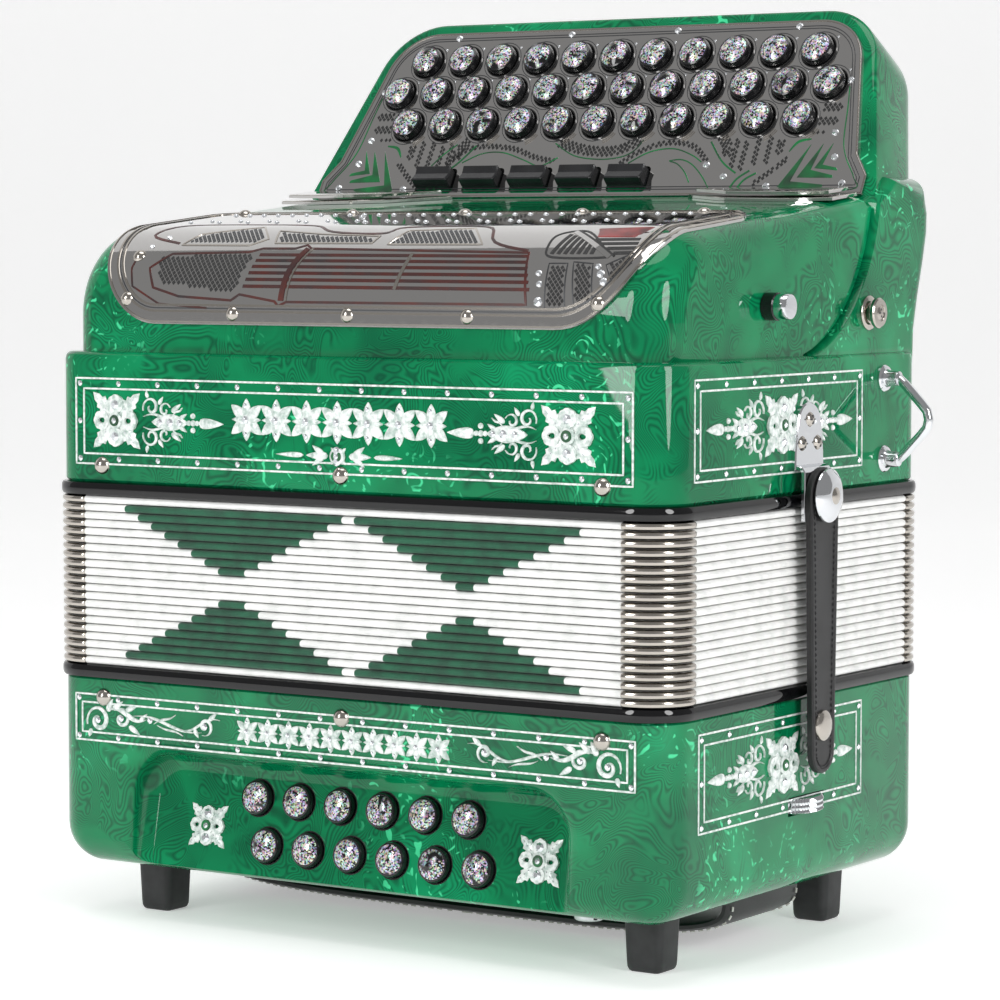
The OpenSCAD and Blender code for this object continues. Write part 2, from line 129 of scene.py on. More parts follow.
def material(name, colour, rough, metallic=0.0, **sockets):
    made = bpy.data.materials.new(name)
    made.use_nodes = True
    tree = made.node_tree
    shader = tree.nodes["Principled BSDF"]
    shader.inputs["Base Color"].default_value = linear(colour)
    shader.inputs["Roughness"].default_value = rough
    shader.inputs["Metallic"].default_value = metallic
    for key, value in sockets.items():
        shader.inputs[key.replace("_", " ")].default_value = value
    place = add(tree, "ShaderNodeTexCoord").outputs["Object"]
    return made, tree, shader, place


def bump(tree, shader, height, depth_mm, strength=1.0):
    made = add(tree, "ShaderNodeBump",
               {"Height": height, "Distance": depth_mm / 1000, "Strength": strength})
    tree.links.new(made.outputs["Normal"], shader.inputs["Normal"])


def grain(tree, place, size_mm, detail=2.0, distortion=0.0):
    made = add(tree, "ShaderNodeTexNoise",
               {"Vector": place, "Scale": per_metre(size_mm), "Detail": detail,
                "Distortion": distortion})
    return made.outputs["Fac"]


def mixed(tree, fac, a, b, blend="MIX"):
    made = add(tree, "ShaderNodeMix", data_type="RGBA", blend_type=blend)
    for key, value in (("Factor", fac), ("A", a), ("B", b)):
        socket = [s for s in made.inputs if s.name == key
                  and s.type == ("VALUE" if key == "Factor" else "RGBA")][0]
        if isinstance(value, bpy.types.NodeSocket):
            tree.links.new(value, socket)
        else:
            socket.default_value = value
    return [s for s in made.outputs if s.type == "RGBA"][0]


def sums(tree, operation, a, b=0.0):
    return add(tree, "ShaderNodeMath", {0: a, 1: b}, operation=operation).outputs[0]


def pearloid_celluloid():
    """Pressed celluloid sheet, polished: swirled growth lines 1 to 2 mm apart under a clear
    gloss, with real flakes whose glint is painted into the base colour as a lighter green."""
    made, tree, shader, place = material(
        "green_pearloid_celluloid", "#0f8f5c", 0.35, Coat_Weight=1.0, Coat_Roughness=0.03,
        Coat_IOR=1.4, Specular_IOR_Level=0.0)
    swirl = grain(tree, place, 32, 1.4, 0.9)
    lines = sums(tree, "PINGPONG", sums(tree, "MULTIPLY", swirl, 38.0), 0.5)
    ink = ramp(tree, lines, [(0.0, "#ffffff"), (0.18, "#c8c8c8"), (0.36, "#000000")])
    patches = ramp(tree, grain(tree, place, 26, 1.0, 0.8),
                   [(0.36, "#000000"), (0.5, "#ffffff")])
    body = ramp(tree, grain(tree, place, 45, 2.0, 0.5),
                [(0.32, "#046a43"), (0.55, "#06804f"), (0.72, "#0a925e")])
    dark = sums(tree, "MULTIPLY", sums(tree, "MULTIPLY", ink, patches), 0.72)
    lined = mixed(tree, dark, body, linear("#023f2b"))
    # Painted glint: scattered flakes are mixed towards a pale green in the base colour, standing in
    # for the glint the real flakes throw
    flake = ramp(tree, grain(tree, place, 11, 0.5, 4.0),
                 [(0.655, "#000000"), (0.72, "#ffffff")])
    where = ramp(tree, grain(tree, place, 48, 0.0, 0.3),
                 [(0.53, "#000000"), (0.66, "#ffffff")])
    flakes_and_painted_glint = sums(tree, "MULTIPLY", sums(tree, "MULTIPLY", flake, where), 0.75)
    tree.links.new(mixed(tree, flakes_and_painted_glint, lined, linear("#4fe7a5")), shader.inputs["Base Color"])
    return made


def lacquer():
    """Black piano lacquer, rubbed down and polished: a deep even gloss."""
    made, tree, shader, place = material(
        "black_polished_lacquer", "#08080a", 0.3, Coat_Weight=1.0, Coat_Roughness=0.04,
        Specular_IOR_Level=0.0)
    bump(tree, shader, grain(tree, place, 12), 0.05, 0.4)
    return made


def tape_cloth(name, colour, darker, weave_mm):
    """Bookbinding cloth, card, thread or felt: matt, with a fine rib and an uneven tone."""
    made, tree, shader, place = material(name, colour, 0.72, Sheen_Weight=0.2,
                                         Sheen_Roughness=0.5)
    tone = ramp(tree, grain(tree, place, 7, 3.0), [(0.3, darker), (0.62, colour)])
    tree.links.new(tone, shader.inputs["Base Color"])
    bump(tree, shader, grain(tree, place, weave_mm, 3.0, 0.4), 0.25, 0.7)
    return made


def plated(name, colour, rough, grain_mm=0.0, metal=1.0):
    """Polished plated metal, or crystal over foil; a grain keeps faint rolling marks."""
    made, tree, shader, place = material(name, colour, rough, metal)
    if grain_mm:
        spread = ramp(tree, grain(tree, place, grain_mm, 4.0, 0.2),
                      [(0.3, "#303030"), (0.7, "#505050")])
        rough_in = sums(tree, "MULTIPLY", spread, rough * 4.2)
        tree.links.new(rough_in, shader.inputs["Roughness"])
        bump(tree, shader, grain(tree, place, grain_mm * 6), 0.04, 0.35)
    return made


def glitter_resin():
    """Clear resin over black with hologram flakes about 0.6 mm across, each given a painted sparkle
    as a random brightness, poured unevenly so that part of each cap stays black."""
    made, tree, shader, place = material(
        "glitter_resin_cap", "#0a0a0c", 0.25, Coat_Weight=1.0, Coat_Roughness=0.02,
        Specular_IOR_Level=0.1)
    cells = add(tree, "ShaderNodeTexVoronoi", {"Vector": place, "Scale": per_metre(0.62)})
    parts = add(tree, "ShaderNodeSeparateColor", {"Color": cells.outputs["Color"]})
    shown = ramp(tree, parts.outputs["Red"], [(0.3, "#000000"), (0.42, "#ffffff")])
    poured = ramp(tree, grain(tree, place, 9, 1.5, 1.2), [(0.34, "#000000"), (0.45, "#ffffff")])
    # Painted sparkle: each flake gets a random brightness from grey to white, standing in for the
    # glint it throws at its own tilt
    flake_grey_and_painted_sparkle = ramp(tree, parts.outputs["Green"],
                 [(0.0, "#4c4e55"), (0.4, "#a8aab2"), (0.8, "#eceef4"), (1.0, "#ffffff")])
    tint = add(tree, "ShaderNodeHueSaturation",
               {"Hue": parts.outputs["Blue"], "Saturation": 1.1, "Value": 1.1,
                "Color": linear("#e38ad6")}).outputs["Color"]
    flakes = mixed(tree, 0.42, flake_grey_and_painted_sparkle, tint)
    mask = sums(tree, "MULTIPLY", shown, poured)
    tree.links.new(mixed(tree, mask, linear("#08080a"), flakes), shader.inputs["Base Color"])
    tree.links.new(sums(tree, "MULTIPLY", mask, 0.25), shader.inputs["Metallic"])
    return made


def moulding(name, colour, rough, grain_mm, depth=0.06):
    """Moulded plastic or rubber, or baked enamel, with a faint uneven skin."""
    made, tree, shader, place = material(name, colour, rough)
    bump(tree, shader, grain(tree, place, grain_mm, 3.0), depth, 0.6)
    tone = ramp(tree, grain(tree, place, grain_mm * 5),
                [(0.3, colour), (0.8, "#2a2a2c")])
    tree.links.new(tone, shader.inputs["Base Color"])
    return made


def calf_leather():
    """Black finished cow leather: a fine pebble about 0.9 mm across and a soft shine."""
    made, tree, shader, place = material("black_calf_leather", "#1b1b1c", 0.42)
    pebble = add(tree, "ShaderNodeTexVoronoi", {"Vector": place, "Scale": per_metre(0.9)},
                 feature="DISTANCE_TO_EDGE").outputs["Distance"]
    bump(tree, shader, pebble, 0.12, 0.5)
    tone = ramp(tree, grain(tree, place, 14, 3.0), [(0.3, "#131314"), (0.75, "#29292a")])
    tree.links.new(tone, shader.inputs["Base Color"])
    return made


def spruce():
    """Planed spruce: straight pale grain."""
    made, tree, shader, place = material("planed_spruce", "#c9a36a", 0.55)
    rings = add(tree, "ShaderNodeTexWave",
                {"Vector": place, "Scale": 120.0, "Distortion": 3.0, "Detail": 2.0}).outputs["Fac"]
    tree.links.new(ramp(tree, rings, [(0.2, "#b98f55"), (0.8, "#d9b680")]),
                   shader.inputs["Base Color"])
    return made


def cast_pearl():
    """White pearl-lacquered castings for the ornament: a soft satin, with painted shade as darker
    grey-green patches of a fine noise.
    """
    made, tree, shader, place = material("white_pearl_lacquer", "#e9efec", 0.28,
                                         Coat_Weight=0.6, Coat_Roughness=0.1)
    # Painted shade: darker grey-green patches about 2 mm across stand in for shade in the
    # ornament's hollows, though they fall at random
    tone = ramp(tree, grain(tree, place, 2.2, 2.0), [(0.3, "#a9bdb4"), (0.6, "#eef3f0")])
    tree.links.new(tone, shader.inputs["Base Color"])
    return made


GREEN = pearloid_celluloid()
LACQUER = lacquer()
WHITE_TAPE = tape_cloth("white_bellows_cloth", "#f6f6f4", "#e2e3e1", 1.1)
GREEN_TAPE = tape_cloth("green_bellows_cloth", "#0e5a3d", "#0a4630", 0.9)
LINING = tape_cloth("dark_bellows_card", "#26282a", "#1a1b1d", 1.2)
PLATE = plated("polished_steel_plate", "#cfcdcb", 0.2, 3)
NICKEL = plated("nickel_plate", "#bcb6ae", 0.16)
CHROME = plated("chrome_plate", "#dfe1e4", 0.07)
ENGRAVED = plated("engraved_line", "#4a4b4d", 0.35, 0.0, 0.6)
GLITTER = glitter_resin()
CAP_BLACK = moulding("black_cap_resin", "#0a0a0b", 0.16, 3, 0.02)
TAB_BLACK = moulding("dark_abs_tab", "#1c1c1e", 0.22, 2, 0.03)
RUBBER = moulding("moulded_rubber", "#141415", 0.5, 1.5)
LEATHER = calf_leather()
THREAD = tape_cloth("waxed_thread", "#d9d8d2", "#b9b8b0", 0.5)
DARK_THREAD = tape_cloth("black_thread", "#303032", "#202022", 0.5)
WOOD = spruce()
PEARL = cast_pearl()
CRYSTAL = plated("foil_backed_crystal", "#eef1f5", 0.08, 0.0, 0.85)
FELT_BLACK = tape_cloth("black_felt", "#0a0a0b", "#060607", 0.6)
BROWN_INK = moulding("red_brown_enamel", "#4f1d16", 0.3, 2, 0.02)
RED_INK = moulding("red_enamel", "#a4413f", 0.3, 2, 0.02)
GREEN_INK = moulding("green_enamel", "#0d7a3f", 0.3, 2, 0.02)

# ---- Skins: lists of points and faces ----


def loft(rings, wrap=True, loop=False, caps=True):
    """Joins rings of points, one after the other, into a skin."""
    n = len(rings[0])
    points = [tuple(p) for ring in rings for p in ring]
    faces = []
    for a in range(len(rings) if loop else len(rings) - 1):
        b = (a + 1) % len(rings)
        for i in range(n if wrap else n - 1):
            j = (i + 1) % n
            faces.append((a * n + i, a * n + j, b * n + j, b * n + i))
    if caps and wrap and not loop:
        faces.append(tuple(range(n))[::-1])
        faces.append(tuple(range((len(rings) - 1) * n, len(rings) * n)))
    return points, faces


def lathe(profile, sides=40):
    """A profile of (radius, height) turned round the third axis."""
    angles = [2 * math.pi * i / sides for i in range(sides)]
    return loft([[(r * math.cos(a), r * math.sin(a), h) for a in angles]
                 for r, h in profile])


def dome_profile(r, h, steps=8, base=0.0):
    """A domed disc r wide and h high, down to height base."""
    ball = (r * r + h * h) / (2 * h)
    top = math.asin(min(1, r / ball))
    return [(r, base)] + [
        (max(0.02, ball * math.sin(top * (1 - i / steps))),
         h - ball + ball * math.cos(top * (1 - i / steps))) for i in range(steps + 1)]


def facing(origin, toward, side=(0, 0, 1)):
    """Places local points with their third axis along toward."""
    z = Vector(toward).normalized()
    x = Vector(side).cross(z)
    x = x.normalized() if x.length > 1e-6 else Vector((1, 0, 0))
    y = z.cross(x)
    start = Vector(origin)
    return lambda a, b, c: tuple(start + x * a + y * b + z * c)


def tube(path, radius, sides=14, closed=False):
    """A round bar along a path; radius is one number or one for each point."""
    path = [Vector(p) for p in path]
    n = len(path)
    up = Vector((0.13, 0.31, 0.94))
    rings = []
    for i, p in enumerate(path):
        before = path[i - 1] if i or closed else p
        after = path[(i + 1) % n] if i < n - 1 or closed else p
        along = (after - before).normalized()
        up = (up - along * up.dot(along)).normalized()
        out = along.cross(up)
        r = radius[i] if isinstance(radius, (list, tuple)) else radius
        rings.append([p + (up * math.cos(2 * math.pi * k / sides)
                           + out * math.sin(2 * math.pi * k / sides)) * r
                      for k in range(sides)])
    return loft(rings, loop=closed)


def inset(outline, d, share=None):
    """A closed outline moved inwards by d, square to its edges; share is how far each
    point takes part."""
    n = len(outline)
    turn = sum(outline[i - 1][0] * outline[i][1] - outline[i][0] * outline[i - 1][1]
               for i in range(n))
    sign = 1 if turn > 0 else -1
    moved = []
    for i in range(n):
        ax, ay = outline[i - 1]
        bx, by = outline[i]
        cx, cy = outline[(i + 1) % n]
        la = math.hypot(bx - ax, by - ay) or 1e-9
        lb = math.hypot(cx - bx, cy - by) or 1e-9
        nx0, ny0 = -(by - ay) / la, (bx - ax) / la
        nx1, ny1 = -(cy - by) / lb, (cx - bx) / lb
        k = sign * d / max(0.35, 1 + nx0 * nx1 + ny0 * ny1)
        k *= share[i] if share else 1
        moved.append((bx + (nx0 + nx1) * k, by + (ny0 + ny1) * k))
    return moved


def stack(outline, levels, share=None):
    """An outline raised through levels of (height, inset)."""
    return loft([[(x, y, h) for x, y in inset(outline, d, share)] for h, d in levels])


def arc(cx, cy, r, a0, a1, n, ry=None):
    """Points on an arc; angles in degrees."""
    return [(cx + r * math.cos(math.radians(a0 + (a1 - a0) * i / n)),
             cy + (ry or r) * math.sin(math.radians(a0 + (a1 - a0) * i / n)))
            for i in range(n + 1)]


def rounded(w, d, r, n=6):
    """A rectangle with round corners about its middle."""
    x, y = w / 2 - r, d / 2 - r
    return (arc(x, -y, r, -90, 0, n) + arc(x, y, r, 0, 90, n)
            + arc(-x, y, r, 90, 180, n) + arc(-x, -y, r, 180, 270, n))


def pierced(outline, holes, h0, h1):
    """A flat sheet with holes through it."""
    sheet = bmesh.new()
    for ring in [outline, *holes]:
        made = [sheet.verts.new((x, y, h1)) for x, y in ring]
        for i in range(len(made)):
            sheet.edges.new((made[i - 1], made[i]))
    bmesh.ops.triangle_fill(sheet, use_beauty=True, use_dissolve=False, edges=sheet.edges[:])
    grown = bmesh.ops.extrude_face_region(sheet, geom=sheet.faces[:])
    for v in grown["geom"]:
        if isinstance(v, bmesh.types.BMVert):
            v.co.z = h0
    bmesh.ops.recalc_face_normals(sheet, faces=sheet.faces[:])
    sheet.verts.index_update()
    skin = ([tuple(v.co) for v in sheet.verts],
            [tuple(v.index for v in f.verts) for f in sheet.faces])
    sheet.free()
    return skin


def sliced(skin, stations):
    """The skin cut along each station of its second axis, so that it can bend there."""
    sheet = bmesh.new()
    made = [sheet.verts.new(p) for p in skin[0]]
    for f in skin[1]:
        sheet.faces.new([made[i] for i in f])
    for t in stations:
        bmesh.ops.bisect_plane(sheet, geom=sheet.verts[:] + sheet.edges[:] + sheet.faces[:],
                               plane_co=(0, t, 0), plane_no=(0, 1, 0))
    sheet.verts.index_update()
    cut = ([tuple(v.co) for v in sheet.verts],
           [tuple(v.index for v in f.verts) for f in sheet.faces])
    sheet.free()
    return cut


def dense(path, step=1.5, closed=False):
    """A path with points no further apart than step."""
    out = []
    n = len(path)
    for i in range(n if closed else n - 1):
        (ax, ay), (bx, by) = path[i], path[(i + 1) % n]
        k = max(1, math.ceil(math.hypot(bx - ax, by - ay) / step))
        out += [(ax + (bx - ax) * j / k, ay + (by - ay) * j / k) for j in range(k)]
    return out if closed else out + [path[-1]]


def strip(path, widths, section, closed=False):
    """Carries a cross-section of (share of half width, height) along a flat path."""
    n = len(path)
    rings = []
    for i, (x, y) in enumerate(path):
        ax, ay = path[i - 1] if i or closed else path[i]
        bx, by = path[(i + 1) % n] if i < n - 1 or closed else path[i]
        long = math.hypot(bx - ax, by - ay) or 1e-9
        nx, ny = -(by - ay) / long, (bx - ax) / long
        w = widths[i] if isinstance(widths, (list, tuple)) else widths
        rings.append([(x + nx * w / 2 * s, y + ny * w / 2 * s, h) for s, h in section])
    return loft(rings, loop=closed, caps=not closed)


def line(path, width=0.5, h=0.25, closed=False):
    """A flat raised line."""
    return strip(dense(path, 1.5, closed), width,
                 [(-1, -0.1), (-1, h), (1, h), (1, -0.1)], closed)


def stroke(path, width, h=0.9, taper=(0.12, 1, 0.12)):
    """A rounded stroke of a scroll, thin at its ends."""
    n = len(path)
    widths = []
    for i in range(n):
        t = i / (n - 1)
        a, b, c = taper
        k = a + (b - a) * math.sin(math.pi * min(t, 0.5)) if t < 0.5 else \
            c + (b - c) * math.sin(math.pi * min(1 - t, 0.5))
        widths.append(width * k)
    return strip(path, widths, [(-1, -0.1), (-0.75, h * 0.6), (0, h), (0.75, h * 0.6),
                                (1, -0.1)])


def crown(ring, h=1.0, flat=0.62):
    """A flat outline raised and drawn in towards its middle."""
    mx = sum(p[0] for p in ring) / len(ring)
    my = sum(p[1] for p in ring) / len(ring)
    return loft([[(mx + (x - mx) * k, my + (y - my) * k, z) for x, y in ring]
                 for k, z in ((1, -0.1), (0.96, 0.3 * h), (flat, 0.85 * h), (0.08, h))])


def petal(cx, cy, angle, long, wide, h=1.0, point=1.6, n=14):
    """A leaf that starts at (cx, cy) and points along angle, crowned in the middle."""
    a = math.radians(angle)
    ring = []
    for i in range(2 * n):
        t = i / n if i <= n else 2 - i / n
        half = wide / 2 * math.sin(math.pi * t ** (1 / point)) ** 0.8 if 0 < t < 1 else 0
        half *= 1 if i <= n else -1
        ring.append((cx + math.cos(a) * long * t - math.sin(a) * half,
                     cy + math.sin(a) * long * t + math.cos(a) * half))
    return crown(ring, h)


def smooth(path, n=5):
    """A curve through every point of the path."""
    out = []
    for i in range(len(path) - 1):
        p0, p1, p2 = path[max(i - 1, 0)], path[i], path[i + 1]
        p3 = path[min(i + 2, len(path) - 1)]
        for j in range(n):
            t = j / n
            out.append(tuple(0.5 * (2 * b + (c - a) * t + (2 * a - 5 * b + 4 * c - d) * t * t
                                    + (3 * b - a - 3 * c + d) * t ** 3)
                             for a, b, c, d in zip(p0, p1, p2, p3)))
    return out + [tuple(path[-1])]


def gem(r):
    """A small round brilliant in a claw."""
    return lathe([(r * 1.15, -0.1), (r * 1.15, r * 0.25), (r, r * 0.35), (r * 0.55, r * 0.8)], 8)


# ---- Surfaces that ornament lies on: (u, v, height above the surface) ----


def on_front(u, v, h):
    return u, FRONT_Y - h, v


def on_right(u, v, h):
    return SIDE_X + h, u, v


def on_board(u, v, h):
    return (u, BOARD_Y + v * math.sin(LEAN) - h * math.cos(LEAN),
            BOARD_Z + v * math.cos(LEAN) + h * math.sin(LEAN))


def on_panel(u, v, h):
    tilt = math.atan(RECESS_SLOPE)
    y = FRONT_Y + RECESS_LOW + (v - Z_BASS) * RECESS_SLOPE
    return u, y - h * math.cos(tilt), v + h * math.sin(tilt)


GRILLE_LOW = Z_HOOD + 11.8
GRILLE_T = 1.2


def on_hood(x, t, h):
    """t runs up the front of the hood from the plate's lower edge, over and back."""
    past = max(0.0, abs(x) - (HOOD_HALF - HOOD_END_R))
    h -= HOOD_END_R - math.sqrt(max(0.0, HOOD_END_R ** 2 - past * past))
    r = HOOD_R + h
    rise = ARC_Z - GRILLE_LOW
    sweep = HOOD_R * (math.pi / 2 - SLOPE)
    if t <= rise:
        return x, HOOD_Y - h, GRILLE_LOW + t
    a = math.pi - min(t - rise, sweep) / HOOD_R
    y, z = ARC_Y + r * math.cos(a), ARC_Z + r * math.sin(a)
    back = max(0.0, t - rise - sweep)
    return x, y + back * math.cos(SLOPE), z + back * math.sin(SLOPE)


HOOD_STATIONS = [3.2 + 53 * i / 26 for i in range(27)]

# ---- From skins to pieces ----


def out_of(place):
    """The way straight out of a flat surface."""
    return Vector(place(0, 0, 1)) - Vector(place(0, 0, 0))


class Piece:
    """Gathers skins, then becomes one object that rides on a CAD body."""

    def __init__(self, name, *finishes):
        self.name, self.finishes = name, finishes
        self.points, self.faces, self.picks = [], [], []

    def add(self, skin, place=None, pick=0):
        base = len(self.points)
        self.points += [place(*p) for p in skin[0]] if place else skin[0]
        self.faces += [tuple(base + i for i in f) for f in skin[1]]
        self.picks += pick if isinstance(pick, list) else [pick] * len(skin[1])
        return self

    def build(self, slot, *stands_for, sharp=32):
        mesh = bpy.data.meshes.new(self.name)
        mesh.from_pydata([((x + MID_X) / 1000, (y + MID_Y) / 1000, z / 1000)
                          for x, y, z in self.points], [], self.faces)
        for finish in self.finishes:
            mesh.materials.append(finish)
        mesh.polygons.foreach_set("material_index", self.picks)
        sheet = bmesh.new()
        sheet.from_mesh(mesh)
        bmesh.ops.recalc_face_normals(sheet, faces=sheet.faces[:])
        for f in sheet.faces:
            f.smooth = True
        sheet.to_mesh(mesh)
        sheet.free()
        mesh.set_sharp_from_angle(angle=math.radians(sharp))
        obj = bpy.data.objects.new(self.name, mesh)
        bpy.context.collection.objects.link(obj)
        if stands_for:
            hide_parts(*stands_for)
        return obj

    def ride(self, body, slot, *stands_for, sharp=32):
        obj = self.build(slot, *stands_for, sharp=sharp)
        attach(obj, body)
        return obj


def carve(obj, cutter):
    """Cuts the cutter's shape out of obj for good."""
    cut = obj.modifiers.new("carve", "BOOLEAN")
    cut.operation, cut.solver, cut.object = "DIFFERENCE", "EXACT", cutter
    depsgraph = bpy.context.evaluated_depsgraph_get()
    mesh = bpy.data.meshes.new_from_object(obj.evaluated_get(depsgraph))
    obj.modifiers.clear()
    obj.data = mesh
    bpy.data.objects.remove(cutter)
    mesh.set_sharp_from_angle(angle=math.radians(32))


def side_view(y, z, x):
    """Outlines drawn in Y and Z, raised along X."""
    return x, y, z


def screw(piece, place, r=3.0, h=1.6, pick=0):
    """A domed cross-head screw."""
    piece.add(lathe(dome_profile(r, h), 24), place, pick)


def cross_slot(piece, place, r, h, pick):
    """The dark cross in a screw's head."""
    for a in (0, math.pi / 2):
        c, s = math.cos(a), math.sin(a)
        ring = [(-r, -r * 0.16), (r, -r * 0.16), (r, r * 0.16), (-r, r * 0.16)]
        piece.add(loft([[(x * c - y * s, x * s + y * c, z) for x, y in ring]
                        for z in (h - 0.6, h + 0.04)]), place, pick)


# ---- Camera, floor and light ----


def camera():
    """Stands in front of the near right corner, a little above the hood."""
    turn, dip = math.radians(33.67), math.radians(4.04)
    made = bpy.data.objects.new("camera", bpy.data.cameras.new("camera"))
    bpy.context.collection.objects.link(made)
    back = Vector((math.sin(turn) * math.cos(dip), -math.cos(turn) * math.cos(dip),
                   math.sin(dip)))
    made.location = ((852.0 + MID_X) / 1000, (-1270.3 + MID_Y) / 1000, 0.2821)
    made.rotation_euler = back.to_track_quat("Z", "Y").to_euler()
    made.data.lens, made.data.sensor_width = 132.2, 36
    made.data.clip_end = 100
    bpy.context.scene.camera = made


def studio():
    """A paper sweep behind the object, two tall soft boxes and one overhead."""
    away = Vector((-0.554, 0.832))
    across = Vector((0.832, 0.554))
    profile = [(-12, 0), (2, 0)] + [(2 + math.sin(math.radians(a)), 1 - math.cos(math.radians(a)))
                                    for a in range(6, 91, 6)] + [(3, 7)]
    skin = loft([[(*(away * s + across * w), z) for w in (-12, 12)] for s, z in profile],
                wrap=False)
    paper, *_ = material("white_paper_sweep", "#f4f4f4", 0.7, Emission_Strength=0.36,
                         Emission_Color=(1, 1, 1, 1))
    sweep = bpy.data.meshes.new("paper_sweep")
    sweep.from_pydata(skin[0], [], skin[1])
    sweep.materials.append(paper)
    for face in sweep.polygons:
        face.use_smooth = True
    obj = bpy.data.objects.new("paper_sweep", sweep)
    bpy.context.collection.objects.link(obj)
    world = bpy.data.worlds.new("studio")
    world.use_nodes = True
    world.node_tree.nodes["Background"].inputs["Color"].default_value = (1, 1, 1, 1)
    world.node_tree.nodes["Background"].inputs["Strength"].default_value = 0.3
    bpy.context.scene.world = world
    for name, place, size, power in (
            ("left_box", (-0.45, -1.6, 0.75), (0.5, 1.0), 11.5),
            ("right_box", (1.5, -0.5, 0.75), (0.5, 1.0), 12),
            ("top_box", (0.1, -0.2, 1.9), (1.3, 1.0), 9)):
        lamp = bpy.data.lights.new(name, "AREA")
        lamp.shape, lamp.size, lamp.size_y, lamp.energy = "ELLIPSE", *size, power
        made = bpy.data.objects.new(name, lamp)
        made.location = place
        made.rotation_euler = (Vector(place) - Vector((0, 0, 0.2))).to_track_quat(
            "Z", "Y").to_euler()
        bpy.context.collection.objects.link(made)
    bpy.context.scene.view_settings.view_transform = "Standard"


camera()
studio()

# ---- Bass end ----


def corner_path(w, d, r, stops=(), steps=10):
    """(x, y, outward x, outward y) round a rectangle, with extra stops along front and back."""
    x0, y0 = w / 2 - r, d / 2 - r
    along = sorted({-x0, x0, *[s for s in stops if abs(s) < x0]})
    out = [(x, -d / 2, 0, -1) for x in along]
    for cx, cy, a0, side in ((x0, -y0, -90, None), (x0, y0, 0, along[::-1]),
                             (-x0, y0, 90, None), (-x0, -y0, 180, ())):
        for i in range(1, steps):
            a = math.radians(a0 + 90 * i / steps)
            out.append((cx + r * math.cos(a), cy + r * math.sin(a), math.cos(a), math.sin(a)))
        if a0 == -90:
            out += [(w / 2, -y0, 1, 0), (w / 2, 0, 1, 0), (w / 2, y0, 1, 0)]
        elif a0 == 0:
            out += [(x, d / 2, 0, 1) for x in side]
        elif a0 == 90:
            out += [(-w / 2, y0, -1, 0), (-w / 2, 0, -1, 0), (-w / 2, -y0, -1, 0)]
    return out


def case_rings(w, d, r, levels):
    """Rounded rectangles up a case; levels are (height, inset)."""
    rings = []
    for z, inward in levels:
        rings.append([(x - nx * inward, y - ny * inward, z)
                      for x, y, nx, ny in corner_path(w, d, r, (-90, 0, 90), 8)])
    return rings


def bass_shell():
    edge = 17
    low = [(Z_BASS + edge * (1 - math.cos(math.radians(a))),
            edge * (1 - math.sin(math.radians(a)))) for a in range(0, 91, 9)]
    low[0] = (Z_BASS, edge)
    levels = low + [(Z_FRAME_LOW - 0.8, 0), (Z_FRAME_LOW, 0.8)]
    shell = Piece("bass_shell", GREEN).add(loft(case_rings(CASE_W, CASE_D, CASE_R, levels)))
    obj = shell.build("green_pearloid", "bass_case")
    # The recess is scooped: it flares at the front and has a soft cove round its panel
    rings = []
    deep = [(-0.02, 8.0)]
    deep += [(0.42 * (1 - math.cos(math.radians(a))), 8 * (1 - math.sin(math.radians(a))))
             for a in range(10, 91, 10)]
    deep += [(0.42 + 0.58 * math.sin(math.radians(a)), -8 * (1 - math.cos(math.radians(a))))
             for a in range(10, 91, 10)]
    x0, x1 = RECESS_MID - RECESS_HALF, RECESS_MID + RECESS_HALF
    outline = ([(x0, 0), (x1, 0)] + arc(x1 - 18, 71.5 - 18, 18, 0, 90, 8)
               + arc(x0 + 18, 71.5 - 18, 18, 90, 180, 8))
    for share, out in deep:
        rings.append([(x, FRONT_Y + share * (RECESS_LOW + (z - Z_BASS) * RECESS_SLOPE), z)
                      for x, z in inset(outline, -out)])
    carve(obj, Piece("recess", GREEN).add(loft(rings)).build("green_pearloid"))
    wells = Piece("wells", GREEN)
    for x, z in bass_places():
        wells.add(lathe([(7.9, -4.5), (7.9, 3)], 32), facing(on_panel(x, z, 0), panel_out()))
    wells.add(lathe([(WHEEL_R + 0.8, -3.7), (WHEEL_R + 0.8, 3.7)], 64),
              lambda a, b, c: (WHEEL_X + a, WHEEL_Y + b, WHEEL_Z + c))
    carve(obj, wells.build("green_pearloid"))
    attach(obj, "bass_end")


def panel_out():
    a = Vector(on_panel(0, 40, 0))
    return Vector(on_panel(0, 40, 1)) - a


def bass_places():
    """Middles of the bass buttons, lower row first."""
    return [((i - 2.5) * BASS_PITCH + (BASS_SHIFT if row == 0 else 0), BASS_ROWS[row])
            for row in (0, 1) for i in range(6)]


def button_skin(piece, place, r, skirt_low, skirt_top, crown):
    """A black skirt with a clear glitter dome set in it."""
    piece.add(lathe([(r - 0.4, skirt_low), (r, skirt_low + 0.4), (r, skirt_top - 0.9),
                     (r - 0.25, skirt_top - 0.25), (r - 0.8, skirt_top),
                     (r - 1.0, skirt_top - 0.12)], 40), place, 0)
    piece.add(lathe(dome_profile(r - 0.95, crown, 10, -1.0), 40),
              lambda a, b, c: place(a, b, c + skirt_top - 0.15), 1)


